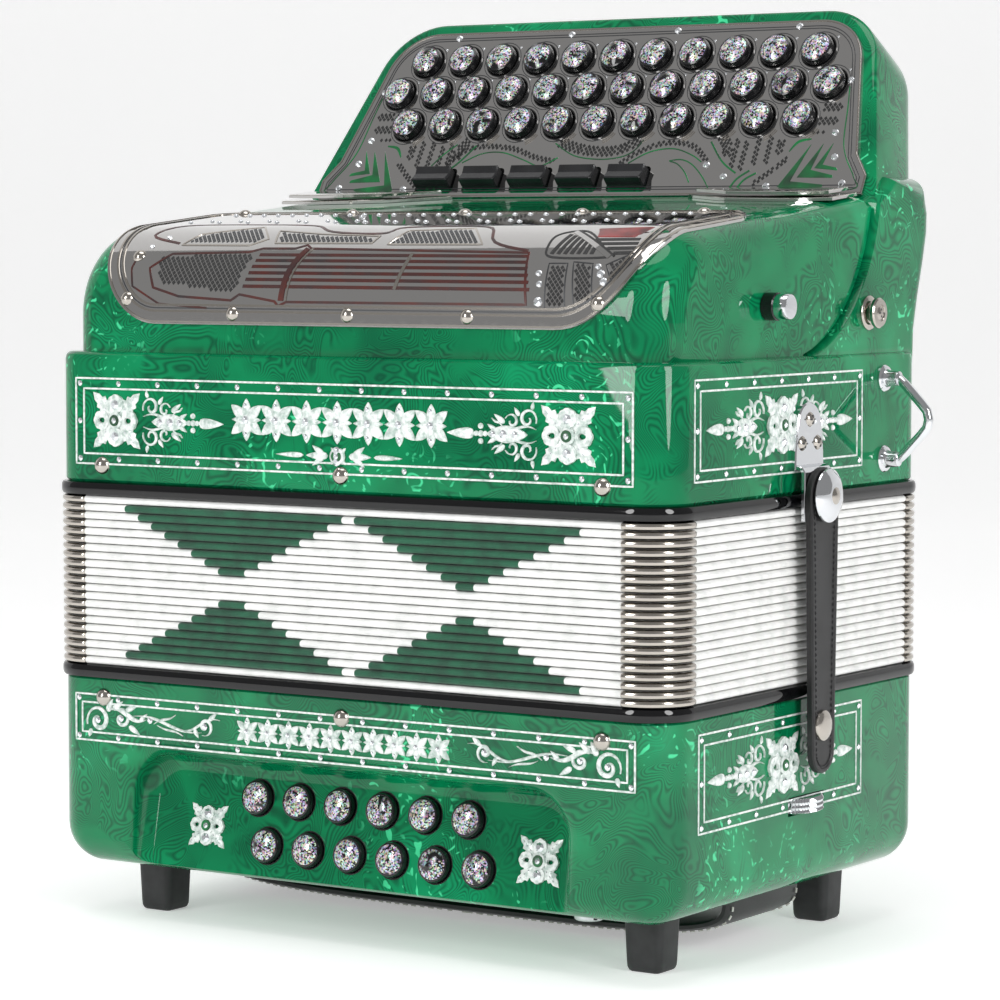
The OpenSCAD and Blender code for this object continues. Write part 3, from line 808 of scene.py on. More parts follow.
def bass_buttons():
    places = bass_places()
    for row, name in ((0, "lower"), (1, "upper")):
        piece = Piece(f"bass_caps_{name}", CAP_BLACK, GLITTER)
        for x, z in places[row * 6:row * 6 + 6]:
            button_skin(piece, facing(on_panel(x, z, 0), panel_out()), 7, -0.2, 3.2, 1.7)
        piece.ride(f"bass_row_{name}", "glitter_button", f"bass_buttons_{name}")
    felt = Piece("bass_felts", FELT_BLACK)
    for x, z in places:
        felt.add(lathe([(7.85, -4.4), (7.85, -0.05), (7.6, 0.02), (7.4, -0.2), (7.4, -4.0),
                        (0.3, -4.0)], 32), facing(on_panel(x, z, 0), panel_out()))
    felt.ride("bass_end", "glitter_button")


def feet():
    piece = Piece("moulded_feet", RUBBER)
    for x in (-120.6, 120.6):
        for y in (-66, 66):
            outline = rounded(17.6, 17.6, 4)
            piece.add(stack(outline, [(0, 2.6), (0.5, 1.7), (1.8, 1.0), (4, 0.8),
                                      (20, 0), (22.6, 0)]),
                      lambda a, b, c, x=x, y=y: (x + a, y + b, c))
    piece.ride("bass_end", "black_rubber", "rubber_feet")


def end_cover():
    """Wooden cover of the bass end, with sound slots and its screws."""
    slots = [[(x + a, y + b) for a, b in rounded(12, 4, 1.9, 4)]
             for x in range(-60, 61, 20) for y in (-56, 64)]
    slots.append(arc(88, -60, 6.6, 0, 345, 23))
    piece = Piece("bass_end_cover", GREEN, NICKEL, FELT_BLACK)
    piece.add(pierced(rounded(244, 154, 4), slots, Z_BASS - 0.9, Z_BASS + 0.5))
    for x in (-114, -40, 40, 114):
        for y in (-71, 71):
            screw(piece, facing((x, y, Z_BASS - 0.9), (0, 0, -1)), 3, 1.2, 1)
    for x in range(-60, 61, 20):
        for y in (-56, 64):
            piece.add(stack(rounded(13, 5, 2), [(0, 0), (0.25, 0)]),
                      lambda a, b, c, x=x, y=y: (x + a, y + b, Z_BASS - 0.1 + c), 2)
    piece.ride("bass_end", "green_pearloid", "bass_end_plate")
    button = Piece("air_button_cap", CHROME)
    button.add(lathe([(5.2, -7), (5.8, -6.6), (6, -6), (6, 3)], 32),
               lambda a, b, c: (88 + a, -60 + b, Z_BASS + c))
    button.ride("air_button", "chrome_hardware", "air_button")


def bow(a, half, drop):
    """A point of the strap's bow, from one end (0) to the other (180)."""
    c = math.cos(math.radians(a))
    return (math.copysign(math.sqrt(abs(c)), c) * half,
            Z_BASS - drop * math.sqrt(max(0.0, math.sin(math.radians(a)))))


def hand_strap():
    """Two layers of leather over padding, dropped steeply at both ends and stitched."""
    rings = []
    for i in range(73):
        # closer together at the ends, where the bow turns quickly
        a = 90 - 90 * math.copysign(abs(1 - i / 36) ** 0.6, 1 - i / 36)
        low, high = bow(a, 130, 19), bow(a, 125.5, 14.6)
        mid = [(u + v) / 2 for u, v in zip(low, high)]
        ring = [(mid[0] + (low[0] - mid[0]) * k, y, mid[1] + (low[1] - mid[1]) * k)
                for y, k in ((-23, 0.35), (-21.5, 0.75), (-18, 0.8), (-12, 1), (6, 1), (24, 1),
                             (30, 0.8), (33.5, 0.75), (35, 0.35))]
        ring += [(mid[0] + (high[0] - mid[0]) * k, y, mid[1] + (high[1] - mid[1]) * k)
                 for y, k in ((35, 0.35), (33.5, 0.75), (6, 0.9), (-21.5, 0.75), (-23, 0.35))]
        rings.append(ring)
    strap = Piece("bass_hand_strap", LEATHER, THREAD).add(loft(rings))
    fine = [bow(180 * i / 2000, 130, 19) for i in range(2001)]
    track, last = [], fine[0]
    for p in fine:
        if math.hypot(p[0] - last[0], p[1] - last[1]) > 1.9:
            track.append((p, last))
            last = p
    for (x1, z1), (x0, z0) in track[::2]:
        for y in (-19.8, 31.8):
            strap.add(tube([(x0, y, z0), (x1, y, z1)], 0.42, 6), None, 1)
    strap.ride("bass_end", "black_leather", "hand_strap")


def strap_wheel():
    """Knurled thumb wheel that tightens the hand strap."""
    teeth, groove, rings = 84, 0.45, []
    for h, r in ((-3, 0.8), (-2.5, 0), (-1.5, groove), (-0.5, 0), (0.5, groove), (1.5, 0),
                 (2.5, groove), (3, 0.8)):
        turn = 0.5 if round(h * 2) % 4 else 0
        ring = []
        for i in range(teeth * 2):
            reach = WHEEL_R - r - (groove if i % 2 else 0)
            a = math.pi * (i + turn) / teeth
            ring.append((reach * math.cos(a), reach * math.sin(a), h))
        rings.append(ring)
    wheel = Piece("knurled_wheel", CHROME)
    wheel.add(loft(rings), lambda a, b, c: (WHEEL_X + a, WHEEL_Y + b, WHEEL_Z + c))
    wheel.ride("strap_wheel", "chrome_hardware", "strap_wheel", sharp=12)


# ---- Bellows ----

NOSE_HALF = 1.5


def green_reach(row):
    """Stretches of green cloth on a fold, as (from, to) along X; row 1 is the top fold."""
    step = row - 2 if row <= 9 else 20 - row
    if not (2 <= row <= 9 or 13 <= row <= 20):
        return []
    return [(-109 + 6.9 * step, 1 - 6.9 * step), (7 + 6.9 * step, 112 - 6.9 * step)]


def stretch(obj):
    """Bakes obj's placement into its mesh."""
    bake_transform(obj)


def carry(obj):
    """obj keeps its shape; its placement is baked into its mesh."""
    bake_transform(obj)


def fold(k):
    """One fold: the cloth-covered nose and its four metal corners."""
    row = FOLDS - k
    mid = Z_FOLDS + (k + 0.5) * PITCH
    spans = green_reach(row)
    stops = [s for span in spans for s in span]
    path = corner_path(FRAME_W - 2, FRAME_D - 2, FRAME_R - 1, stops)
    nose = [(-6, -1.3), (-1.9, -NOSE_HALF), (-1.0, -1.32), (-0.35, -0.95), (0, -0.4), (0, 0.4),
            (-0.35, 0.95), (-1.0, 1.32), (-1.9, NOSE_HALF), (-6, 1.3)]
    rings = [[(x + nx * o, y + ny * o, mid + h) for o, h in nose] for x, y, nx, ny in path]
    n = len(nose)
    picks = []
    for i in range(len(path)):
        x0, y0, _, ny0 = path[i]
        x1, _, _, ny1 = path[(i + 1) % len(path)]
        green = abs(ny0) == 1 and abs(ny1) == 1 and any(
            a - 0.01 <= min(x0, x1) and max(x0, x1) <= b + 0.01 for a, b in spans)
        picks += [1 if green else 0] * n
    piece = Piece(f"fold_{k + 1:02d}", WHITE_TAPE, GREEN_TAPE, NICKEL)
    piece.add(loft(rings, loop=True), None, picks)
    # Metal corner, a rolled strip over the nose
    clip = [(-3.0, -1.2), (-1.6, -1.5), (-0.6, -1.42), (0.2, -1.05), (0.6, -0.4), (0.6, 0.4),
            (0.2, 1.05), (-0.6, 1.42), (-1.6, 1.5), (-3.0, 1.2)]
    r = FRAME_R - 1
    x0, y0 = (FRAME_W - 2) / 2 - r, (FRAME_D - 2) / 2 - r
    for sx, sy, a0 in ((1, -1, -90), (1, 1, 0), (-1, 1, 90), (-1, -1, 180)):
        stations = []
        for i in range(-3, 14):
            a = math.radians(a0 + 90 * min(max(i, 0), 10) / 10)
            c, s = math.cos(a), math.sin(a)
            past = max(-i, i - 10, 0)
            slip = (-1 if i < 0 else 1) * (0, 1.9, 2.5, 2.8)[past]
            full = (1, 1, 0.82, 0.35)[past]
            stations.append([(sx * x0 + (r - 1.2 + (o + 1.2) * full) * c - s * slip,
                              sy * y0 + (r - 1.2 + (o + 1.2) * full) * s + c * slip,
                              mid + h * (0.55 + 0.45 * full)) for o, h in clip])
        piece.add(loft(stations), None, 2)
    obj = piece.build("bellows_cloth", "bellows_folds")
    carry(obj)


def valley(k):
    """The folded card between fold k and the next one out."""
    low = Z_FOLDS + (k - 0.5) * PITCH + 1.25 if k else Z_FOLDS
    high = Z_FOLDS + (k + 0.5) * PITCH - 1.25 if k < FOLDS else Z_FRAME_HIGH
    path = corner_path(FRAME_W - 2, FRAME_D - 2, FRAME_R - 1)
    mid = (low + high) / 2
    outer_low = -10 if k == 0 else -2.6
    outer_high = -10 if k == FOLDS else -2.6
    deep = -17.5
    section = [(outer_low, low), (deep, mid - 0.05), (deep - 0.6, mid), (deep, mid + 0.05),
               (outer_high, high)]
    rings = [[(x + nx * o, y + ny * o, z) for o, z in section] for x, y, nx, ny in path]
    piece = Piece(f"bellows_card_{k:02d}", LINING)
    piece.add(loft(rings, wrap=False, loop=True, caps=False))
    obj = piece.build("bellows_cloth")
    stretch(obj)


def pin_places():
    return [(x, side) for x in (-121.5, 0, 121.5) for side in (-1, 1)]


def bellows_frame(name, z0, z1, pin_z, body, node):
    """Lacquered wooden frame with a half-round edge, and the pins that hold it to its case."""
    half = (z1 - z0) / 2
    mid = z0 + half
    section = [(-17, -half), (-1.6, -half), (-0.6, -half * 0.86), (-0.1, -half * 0.5), (0, 0),
               (-0.1, half * 0.5), (-0.6, half * 0.86), (-1.6, half), (-17, half)]
    path = corner_path(FRAME_W, FRAME_D, FRAME_R, (), 14)
    rings = [[(x + nx * o, y + ny * o, mid + h) for o, h in section] for x, y, nx, ny in path]
    piece = Piece(name, LACQUER, NICKEL).add(loft(rings, loop=True))
    for x, side in pin_places():
        place = facing((x, side * CASE_D / 2, pin_z), (0, side, 0))
        piece.add(lathe([(3.8, 0)] + dome_profile(3.8, 2.8, 8, 0.2)[1:], 28), place, 1)
    piece.ride(body, "black_lacquer", node)


# ---- Treble end ----


def hood_outline(drop=12):
    """Side profile of the hood in Y and Z, counter-clockwise from the lower front."""
    top_y = ARC_Y - HOOD_R * math.sin(SLOPE)
    top_z = ARC_Z + HOOD_R * math.cos(SLOPE)
    d = (top_z + (SEAM_Y - top_y) * math.tan(SLOPE) - SEAM_Z) * math.cos(SLOPE)
    end = math.degrees(SLOPE) + math.degrees(math.asin(d / SEAM_R))
    low = math.degrees(math.asin((Z_HOOD - SEAM_Z) / SEAM_R))
    seam = arc(SEAM_Y, SEAM_Z, SEAM_R, low, end, 20)
    over = arc(ARC_Y, ARC_Z, HOOD_R, 90 + math.degrees(SLOPE), 180, 28)
    return ([(HOOD_Y, Z_HOOD - drop), (seam[0][0], Z_HOOD - drop)] + seam + over)


def pillow(outline, half, r, share=None, steps=8):
    """An outline raised to both sides of X with its end edges rounded by r."""
    levels = [(-(half - r + r * math.cos(math.pi / 2 * i / steps)),
               r * (1 - math.sin(math.pi / 2 * i / steps))) for i in range(steps + 1)]
    levels += [(-x, d) for x, d in levels[::-1]]
    return stack(outline, levels, share)


def treble_band():
    levels = [(Z_TREBLE, 1.0), (Z_TREBLE + 1, 0), (Z_HOOD - 3, 0), (Z_HOOD - 1.2, 0.5),
              (Z_HOOD - 0.3, 1.6), (Z_HOOD, 3)]
    Piece("treble_band", GREEN).add(loft(case_rings(CASE_W, CASE_D, CASE_R, levels))).ride(
        "treble_end", "green_pearloid", "treble_case")


def hood():
    outline = hood_outline()
    share = [1, 0.05] + [0.05] * 20 + [0.3] + [1] * 29
    Piece("hood_cover", GREEN).add(pillow(outline, HOOD_HALF, HOOD_END_R, share), side_view).ride(
        "treble_end", "green_pearloid", "treble_hood")


def grille_outline():
    """The plate laid flat: across, and up from its lower edge."""
    return (arc(97, 48, 39, -90, 0, 16, 48) + arc(136 - 14, 111 - 14, 14, 0, 90, 6)
            + arc(-131 + 14, 111 - 14, 14, 90, 180, 6) + arc(-97, 48, 34, 180, 270, 16, 48))


def grille():
    plate = Piece("grille_sheet", PLATE, NICKEL, ENGRAVED, BROWN_INK, FELT_BLACK, CRYSTAL,
                  RED_INK)
    outline = grille_outline()
    plate.add(sliced(pierced(outline, [], 0.05, GRILLE_T), HOOD_STATIONS), on_hood)
    top = GRILLE_T

    def on_plate(u, v, h):
        return on_hood(u, v, top + h)
    for d, w, pick in ((1.0, 0.7, 1), (5.2, 0.9, 1), (6.4, 0.5, 2), (7.6, 0.9, 1)):
        plate.add(line(inset(outline, d), w, 0.3 if pick == 1 else 0.12, True), on_plate, pick)
    for x, t in ((-57, 4.4), (0, 4.4), (57, 4.4), (-112, 10), (-112, 29), (116, 10),
                 (-114, 106), (-57, 106), (0, 106), (57, 106), (114, 106)):
        place = facing(on_plate(x, t, 0), Vector(on_plate(x, t, 1)) - Vector(on_plate(x, t, 0)))
        screw(plate, place, 3, 1.8, 1)
    grille_art(plate, on_plate)
    plate.ride("treble_end", "polished_plate", "grille_plate")


def mesh_patch(piece, outline, place, pick, cell=2.2, h=0.06):
    """Diamond holes of a pierced patch."""
    xs = [p[0] for p in outline]
    ys = [p[1] for p in outline]

    def inside(x, y):
        hit = False
        for i in range(len(outline)):
            (x0, y0), (x1, y1) = outline[i - 1], outline[i]
            if (y0 > y) != (y1 > y) and x < (x1 - x0) * (y - y0) / (y1 - y0) + x0:
                hit = not hit
        return hit
    row = 0
    y = min(ys)
    while y < max(ys):
        x = min(xs) + (cell / 2 if row % 2 else 0)
        while x < max(xs):
            if inside(x, y):
                w, t = cell * 0.4, cell * 0.44
                piece.add(loft([[(x - w, y, k), (x, y - t, k), (x + w, y, k), (x, y + t, k)]
                                for k in (-0.05, h)]), place, pick)
            x += cell
        y += cell * 0.55
        row += 1


def sheet_gem(piece, place, x, t, r, pick):
    piece.add(gem(r), facing(place(x, t, 0), Vector(place(x, t, 1)) - Vector(place(x, t, 0))),
              pick)


def grille_art(plate, on_plate):
    """Plain engraved lines, enamel strings and pierced patches."""
    panel = [(-99, 14.5), (-85, 11), (-58, 9.6), (-54, 12), (-36, 9.4), (-34, 7.6), (-30, 9.2),
             (84, 9.2), (79, 31), (-26, 33), (-29, 35), (-34, 33), (-50, 33), (-56, 31),
             (-95, 30), (-103.5, 23)]
    plate.add(line(panel, 1.0, 0.16, True), on_plate, 3)
    plate.add(line([(-112, 30), (-113, 23), (-110, 15), (-95, 8), (-70, 6.5)], 0.8, 0.14),
              on_plate, 3)
    for i in range(6):
        t = 29.4 - i * 2.85
        plate.add(line([(-50 - i * 0.6, t + 0.2), (79 + i * 1.1, t - 0.2)], 1.35, 0.16),
                  on_plate, 3)
    plate.add(line([(24.8, 30.5), (21.6, 14.5)], 1.6, 0.22), on_plate, 1)
    mesh_patch(plate, [(-100, 28.6), (-53, 30), (-57, 12.6), (-97, 17)], on_plate, 4, 2.5)
    plate.add(line(smooth([(-27.5, 33), (-30.6, 26), (-32.4, 19), (-33, 9.6)]), 2.6, 0.24),
              on_plate, 3)
    plate.add(line(smooth([(-24.9, 33), (-28, 26), (-29.9, 19), (-30.5, 9.6)]), 0.7, 0.3),
              on_plate, 1)
    for patch in ([(-93, 35), (-88, 42.8), (-61, 50.5), (-51, 39), (-58, 34.8)],
                  [(-50, 46), (-26, 42.8), (3, 41.2), (2, 36.2), (-46, 36.2)],
                  [(10, 35.5), (14, 46), (44, 48.5), (55, 35.5)]):
        plate.add(line(patch, 0.8, 0.2, True), on_plate, 1)
        mesh_patch(plate, inset(patch, 1.4), on_plate, 2, 2.3)
    plate.add(line(smooth([(-95, 36), (-112, 42), (-100, 55), (-62, 56), (-37, 53), (-23, 45),
                           (3, 43.4), (11, 50), (48, 50.5), (60, 37), (78, 32)]), 1.2, 0.16),
              on_plate, 3)
    for patch in ([(91.4, 25), (98, 25), (100.6, 8.6), (93.4, 8.4)],
                  [(102.4, 25.6), (109.4, 25), (112.4, 11.8), (106.4, 9.4)],
                  [(117.4, 25), (125.4, 29.5), (126, 26.5), (121, 19.5)]):
        plate.add(line(inset(patch, -0.9), 0.5, 0.14, True), on_plate, 2)
        mesh_patch(plate, patch, on_plate, 4, 2.2)
    # Fan of bars crossed by a lever
    plate.add(line(smooth([(86, 33), (86, 41), (92, 45), (100, 44), (114, 31), (112, 28.6),
                           (90, 28.8), (86, 33)]), 0.9, 0.16), on_plate, 4)
    for i in range(7):
        x = 88.2 + i * 3.0
        plate.add(line([(x + 1.2, 30.4), (x + 4.2 - i * 0.5, min(42.5, 34 + 8.5 * (1 - i / 8)))],
                       1.7, 0.14), on_plate, 4)
    plate.add(line([(93, 44.4), (116, 29)], 2.0, 0.3), on_plate, 0)
    plate.add(line([(95, 44.8), (118, 29.4)], 0.9, 0.34), on_plate, 4)
    for x0, x1, t in ((105, 125, 38.6), (109, 125.5, 36), (113, 125.5, 33.4), (117, 125, 30.8)):
        plate.add(line([(x0, t), (x1, t + 0.3)], 1.5, 0.14), on_plate, 4)
    plate.add(crown([(101.5, 47.6), (104.8, 40.2), (122, 40.2), (125.6, 49.6)], 0.3, 0.9),
              on_plate, 6)
    for x, t, g in ((87.1, 21.6, 1.1), (88.6, 17.2, 1.1), (89.4, 10.4, 1.6), (112.8, 24.6, 1.1),
                    (115, 21.4, 1.4), (117.2, 18.2, 1.4), (-110.6, 28.5, 1.1),
                    (-108, 34, 1.0), (-103, 40, 1.0)):
        sheet_gem(plate, on_plate, x, t, g, 5)
    for i in range(31):
        sheet_gem(plate, on_plate, -112 + i * 7.5, 66 + (i % 2) * 5, 1.0, 5)
        sheet_gem(plate, on_plate, -112 + i * 7.5, 97, 1.0, 5)


def edge_x(s):
    return 131 - BOARD_TAPER * s


def board_outline(g):
    """The board's face in X and along the board, drawn in by g."""
    k = math.sqrt(1 + BOARD_TAPER ** 2)
    top, r = BOARD_UP - g, 30 - g
    cs = top - r
    cx = edge_x(cs) - (r + g) * k
    low = -BOARD_DOWN + min(g, 1)
    low_x = edge_x(low) - g * k
    turn = math.degrees(math.atan(BOARD_TAPER))
    right = arc(cx, cs, r, turn, 90, 12)
    left = arc(-cx, cs, r, 90, 180 - turn, 12)
    return [(-low_x, low), (low_x, low)] + right + left


def into_board(u, v, depth):
    return on_board(u, v, -depth)


def board_body():
    """Slab and block of the fingerboard, in one finish."""
    outline = board_outline(0)
    r = 17
    levels = [(7.4, 9), (7.39, 8.0), (0.3, 8.0), (0, 7.6), (0, 2.2), (0.35, 1.0), (1.0, 0.3),
              (2.2, 0)]
    levels += [(BOARD_T - r + r * math.sin(math.radians(a)), r * (1 - math.cos(math.radians(a))))
               for a in range(0, 91, 10)]
    body = Piece("fingerboard_body", GREEN)
    body.add(stack(outline, levels), into_board)
    low_y = BOARD_Y - BOARD_DOWN * math.sin(LEAN)
    low_z = BOARD_Z - BOARD_DOWN * math.cos(LEAN)
    seam = arc(SEAM_Y, SEAM_Z, SEAM_R + 0.25, -76, -9, 18)
    back = [(low_y, low_z), (low_y + 12, low_z + 9), (109, Z_HOOD + 72), (114, Z_HOOD + 67),
            (117, Z_HOOD + 58), (116.6, Z_HOOD + 48), (113.5, Z_HOOD + 36),
            (108.5, Z_HOOD + 20), (105.5, Z_HOOD + 8), (104.5, Z_HOOD - 10),
            (seam[0][0], Z_HOOD - 10)]
    share = [0.08] * 19 + [0.1, 0.3, 0.8] + [1] * 8 + [0.02]
    body.add(pillow(seam + back, 148, 12, share), side_view)
    body.ride("treble_end", "green_pearloid", "fingerboard")


def button_places():
    out = []
    for row, count in enumerate(ROWS):
        for col in range(count):
            out.append(((col - (count - 1) / 2) * BUTTON_PITCH, (row - 1) * ROW_PITCH))
    return out


def board_plate():
    """Plated sheet with a hole for each button and a slot for each register tab."""
    plate = Piece("button_plate", PLATE, NICKEL, ENGRAVED, GREEN_INK, FELT_BLACK, CRYSTAL)
    k = math.sqrt(1 + BOARD_TAPER ** 2)
    low_x = edge_x(-53) - 6 * k
    outline = board_outline(6)
    outline = [(-low_x, -53), (low_x, -53), (low_x, -44), (edge_x(-34) - 8, -34)] + outline[2:] + [
        (-edge_x(-34) + 8, -34), (-low_x, -44)]
    holes = [arc(x, s, WELL_R, 0, 348.75, 31) for x, s in button_places()]
    holes += [[(x + a, TAB_S + b) for a, b in rounded(20, 12.6, 2, 4)] for x in REGISTER_X]
    plate.add(pierced(outline, holes, 0.02, GRILLE_T), on_board)
    for x, s in button_places():
        plate.add(lathe([(WELL_R - 0.05, -7.2), (WELL_R - 0.05, GRILLE_T + 0.05),
                         (WELL_R - 0.5, GRILLE_T - 0.1), (WELL_R - 0.5, -7.0), (0.4, -7.0)], 32),
                  facing(on_board(x, s, 0), out_of(on_board)), 4)
    for x in REGISTER_X:
        plate.add(stack(rounded(20.8, 13.4, 2, 4), [(-7.2, 0), (0.6, 0), (0.6, 0.4), (-7, 0.4)]),
                  lambda a, b, c, x=x: on_board(x + a, TAB_S + b, c), 4)

    def on_sheet(u, v, h):
        return on_board(u, v, GRILLE_T + h)
    board_art(plate, on_sheet, outline)
    for m in (-1, 1):
        wing = [(60, 27), (84, 11), (120, 4), (139, 8), (139, 29), (100, 30)]
        wing = [(m * x, y) for x, y in wing]
        for rise, d in ((0, 0), (2.6, 2.6)):
            plate.add(stack(inset(wing, d), [(rise + 0.1, 0), (rise + 1.2, 0), (rise + 1.5, 0.5)]),
                      lambda a, b, c: on_hood_top(a, 34 + b, c))
            plate.add(line(inset(wing, d + 0.5), 0.5, 0.1, True),
                      lambda a, b, c, rise=rise: on_hood_top(a, 34 + b, rise + 1.4 + c), 1)
    plate.ride("treble_end", "polished_plate", "fingerboard_plate")


def on_hood_top(x, y, h):
    z = ARC_Z + HOOD_R * math.cos(SLOPE) + (y - ARC_Y + HOOD_R * math.sin(SLOPE)) * math.tan(SLOPE)
    return x, y - h * math.sin(SLOPE), z + h * math.cos(SLOPE)


def board_art(plate, on_sheet, outline):
    """Engraved rings, pierced bands, green enamel lines and chevrons, and crystals."""
    for d, w, pick in ((0.7, 0.5, 1), (3.0, 0.4, 2), (4.2, 0.4, 2)):
        plate.add(line(inset(outline, d), w, 0.2 if pick == 1 else 0.1, True), on_sheet, pick)
    for x, s in button_places():
        plate.add(line(arc(x, s, WELL_R + 1.0, 0, 345, 23), 0.35, 0.08, True), on_sheet, 2)
        for r in ((9.9, 10.9, 11.9) if s < -10 else (9.9,)):
            plate.add(line(arc(x, s, r, -62, -28, 6), 0.4, 0.14), on_sheet, 1)
        if s > -10:
            sheet_gem(plate, on_sheet, x + 7.6, s + 6.6, 0.5, 5)
    for m in (-1, 1):
        def side(path, m=m):
            return [(m * x, s) for x, s in path]
        for chevron in ([(108.8, -29.2), (97.3, -50.8), (119.5, -50.2), (119.1, -48.5),
                         (103.4, -46.8)],
                        [(114.6, -28.9), (106.2, -45), (123.1, -45.3), (122.7, -44.1),
                         (111.7, -41.4)],
                        [(119.2, -28.8), (113.3, -40.6), (124.4, -41.8), (123.6, -40.5),
                         (116.7, -39)]):
            flat = side(chevron)
            plate.add(pierced(flat, [], -0.05, 0.14), on_sheet, 3)
        plate.add(stroke(smooth(side([(108.1, -26.6), (102.5, -27.8), (99.1, -32.5)])), 1.6, 0.2,
                         (0.5, 1, 0.3)), on_sheet, 3)
        plate.add(line(smooth(side([(119.6, -1.5), (121.4, -11.9), (123.6, -27.3),
                                    (127, -35.9), (133, -45.3), (133.4, -50.8),
                                    (102.4, -51.4)])), 0.5, 0.12), on_sheet, 3)
        for path in ([(60, -27.1), (68, -36.8), (76.1, -42.5)],
                     [(74.8, -51), (77.4, -45.5), (82.7, -41.3)],
                     [(78.3, -51), (81, -46), (86.1, -42.6)]):
            plate.add(line(smooth(side(path)), 0.8, 0.14), on_sheet, 3)
        for path, w in (([(65, -24.8), (69, -30), (69, -34)], 5), ([(73, -26.4), (73, -38.6)], 2.4),
                        ([(77.6, -27.6), (77.6, -40)], 2.2), ([(83.2, -25.4), (83.4, -39.6)], 2.4),
                        ([(88.8, -25), (89.2, -38.8)], 2.6), ([(94.2, -27.4), (94.2, -34)], 3.6),
                        ([(99, -36), (93.4, -41.4), (86.5, -47.3)], 2.6),
                        ([(110.5, -11.4), (120, -11.4)], 3.4), ([(110, -18), (119.6, -18)], 3.2),
                        ([(108.2, -23.4), (113.4, -23.4)], 1.8)):
            track = dense(smooth(side(path), 3), 0.6)
            band_mesh(plate, track, w, on_sheet, 4)
    # Swept bands over the tabs
    for path, w in (([(16.9, -37.8), (23.5, -32.6), (33.7, -28), (44.2, -27.3), (52.8, -29.6),
                      (60, -36.2)], 2.4),
                    ([(-73.1, -37.7), (-66.7, -30.5), (-56.8, -27.5), (-40.2, -28.8),
                      (-28.1, -33.1), (-17.9, -35.3)], 2.6),
                    ([(-16, -26.2), (-5, -29.6), (6, -31), (15, -30.2), (24, -26.2)], 5.4)):
        band_mesh(plate, dense(smooth(path, 4), 0.6), w, on_sheet, 4)
    for path in ([(21.6, -37), (31, -31.6), (42.3, -30.2), (52.1, -33.4), (57.9, -36.9)],
                 [(41.9, -36.2), (47.5, -35.6), (53.4, -37.9), (59.9, -43.6), (64.9, -49.7)],
                 [(42.4, -36.4), (46.4, -37.8), (51.1, -41.8), (54.6, -46.8)],
                 [(-18.6, -26.6), (-7.2, -32.9), (6, -34.9), (16.6, -34), (22.6, -31), (26, -25.8)],
                 [(-65, -35.7), (-55.6, -31.2), (-44.9, -30.8), (-33, -34.6), (-23.5, -37.8),
                  (-15.2, -33.8)],
                 [(-81, -37.1), (-76.3, -31.4), (-70.3, -26.3)]):
        plate.add(line(smooth(path), 0.55, 0.12), on_sheet, 3)
    for x, s in ((27.3, 28.9), (87.4, 28.9), (-27.3, 28.9), (-87.4, 28.9), (119.4, 1.5),
                 (-119.4, 1.5), (121.4, -35.4), (-121.4, -35.4), (128.1, -47.9), (-128.1, -47.9),
                 (118.5, -23.6), (-118.5, -23.6), (92.5, -48.9), (-92.5, -48.9), (70.7, -44.1),
                 (60.8, -38.4)):
        sheet_gem(plate, on_sheet, x, s, 1.35, 5)


def band_mesh(piece, track, wide, place, pick, cell=2.4):
    """Diamond holes in a band along a track."""
    rows, gap = max(1, round(wide / 1.25)), 1.25
    gone, count = cell, 0
    for i in range(1, len(track)):
        (ax, ay), (bx, by) = track[i - 1], track[i]
        long = math.hypot(bx - ax, by - ay) or 1e-9
        gone += long
        if gone < cell:
            continue
        gone, count = gone - cell, count + 1
        ux, uy = (bx - ax) / long, (by - ay) / long
        for k in range(rows):
            off, slip = (k - (rows - 1) / 2) * gap, (k % 2) * cell / 2
            x, y = ax - uy * off + ux * slip, ay + ux * off + uy * slip
            piece.add(loft([[(x - 0.85, y, h), (x, y - 1.05, h), (x + 0.85, y, h),
                             (x, y + 1.05, h)] for h in (-0.05, 0.07)]), place, pick)


def treble_buttons():
    out = out_of(on_board)
    for i, (x, s) in enumerate(button_places()):
        name = f"treble_button_{i + 1:02d}"
        piece = Piece(f"glitter_cap_{i + 1:02d}", CAP_BLACK, GLITTER)
        button_skin(piece, facing(on_board(x, s, 0), out), CAP_R, -1.9, 4.9, 1.9)
        piece.ride(name, "glitter_button", name)


def register_tabs():
    for i, x in enumerate(REGISTER_X):
        turn = math.radians(-7)
        ring = [(6, -4), (6, 2), (-2.5, 2.6), (-5.9, 2.7), (-6.4, 2.2), (-5.5, -1), (-6.6, -4.4),
                (-6.4, -5.1), (-2.5, -6)]
        ring = [(3 + (a - 3) * math.cos(turn) - b * math.sin(turn),
                 (a - 3) * math.sin(turn) + b * math.cos(turn)) for a, b in ring]
        piece = Piece(f"register_key_{i + 1}", TAB_BLACK)
        piece.add(stack(ring, [(-9.3, 0.6), (-8.7, 0), (8.7, 0), (9.3, 0.6)]),
                  lambda a, b, c, x=x: into_board(x + c, TAB_AXIS_S + b, a))
        piece.ride(f"register_tab_{i + 1}", "dark_tab", f"register_tab_{i + 1}", sharp=25)


def knob():
    piece = Piece("side_knob", CHROME, CAP_BLACK)
    place = facing((HOOD_HALF, -22, Z_HOOD + 20), (1, 0, 0))
    piece.add(lathe([(5.5, 0.4), (5.5, 5.2), (5.2, 5.5)], 36), place, 1)
    piece.add(lathe([(4.9, 5.3), (5.1, 5.8), (5.1, 10.4), (4.8, 10.9), (4.4, 11.0)], 36), place, 0)
    piece.ride("volume_knob", "chrome_hardware", "volume_knob")


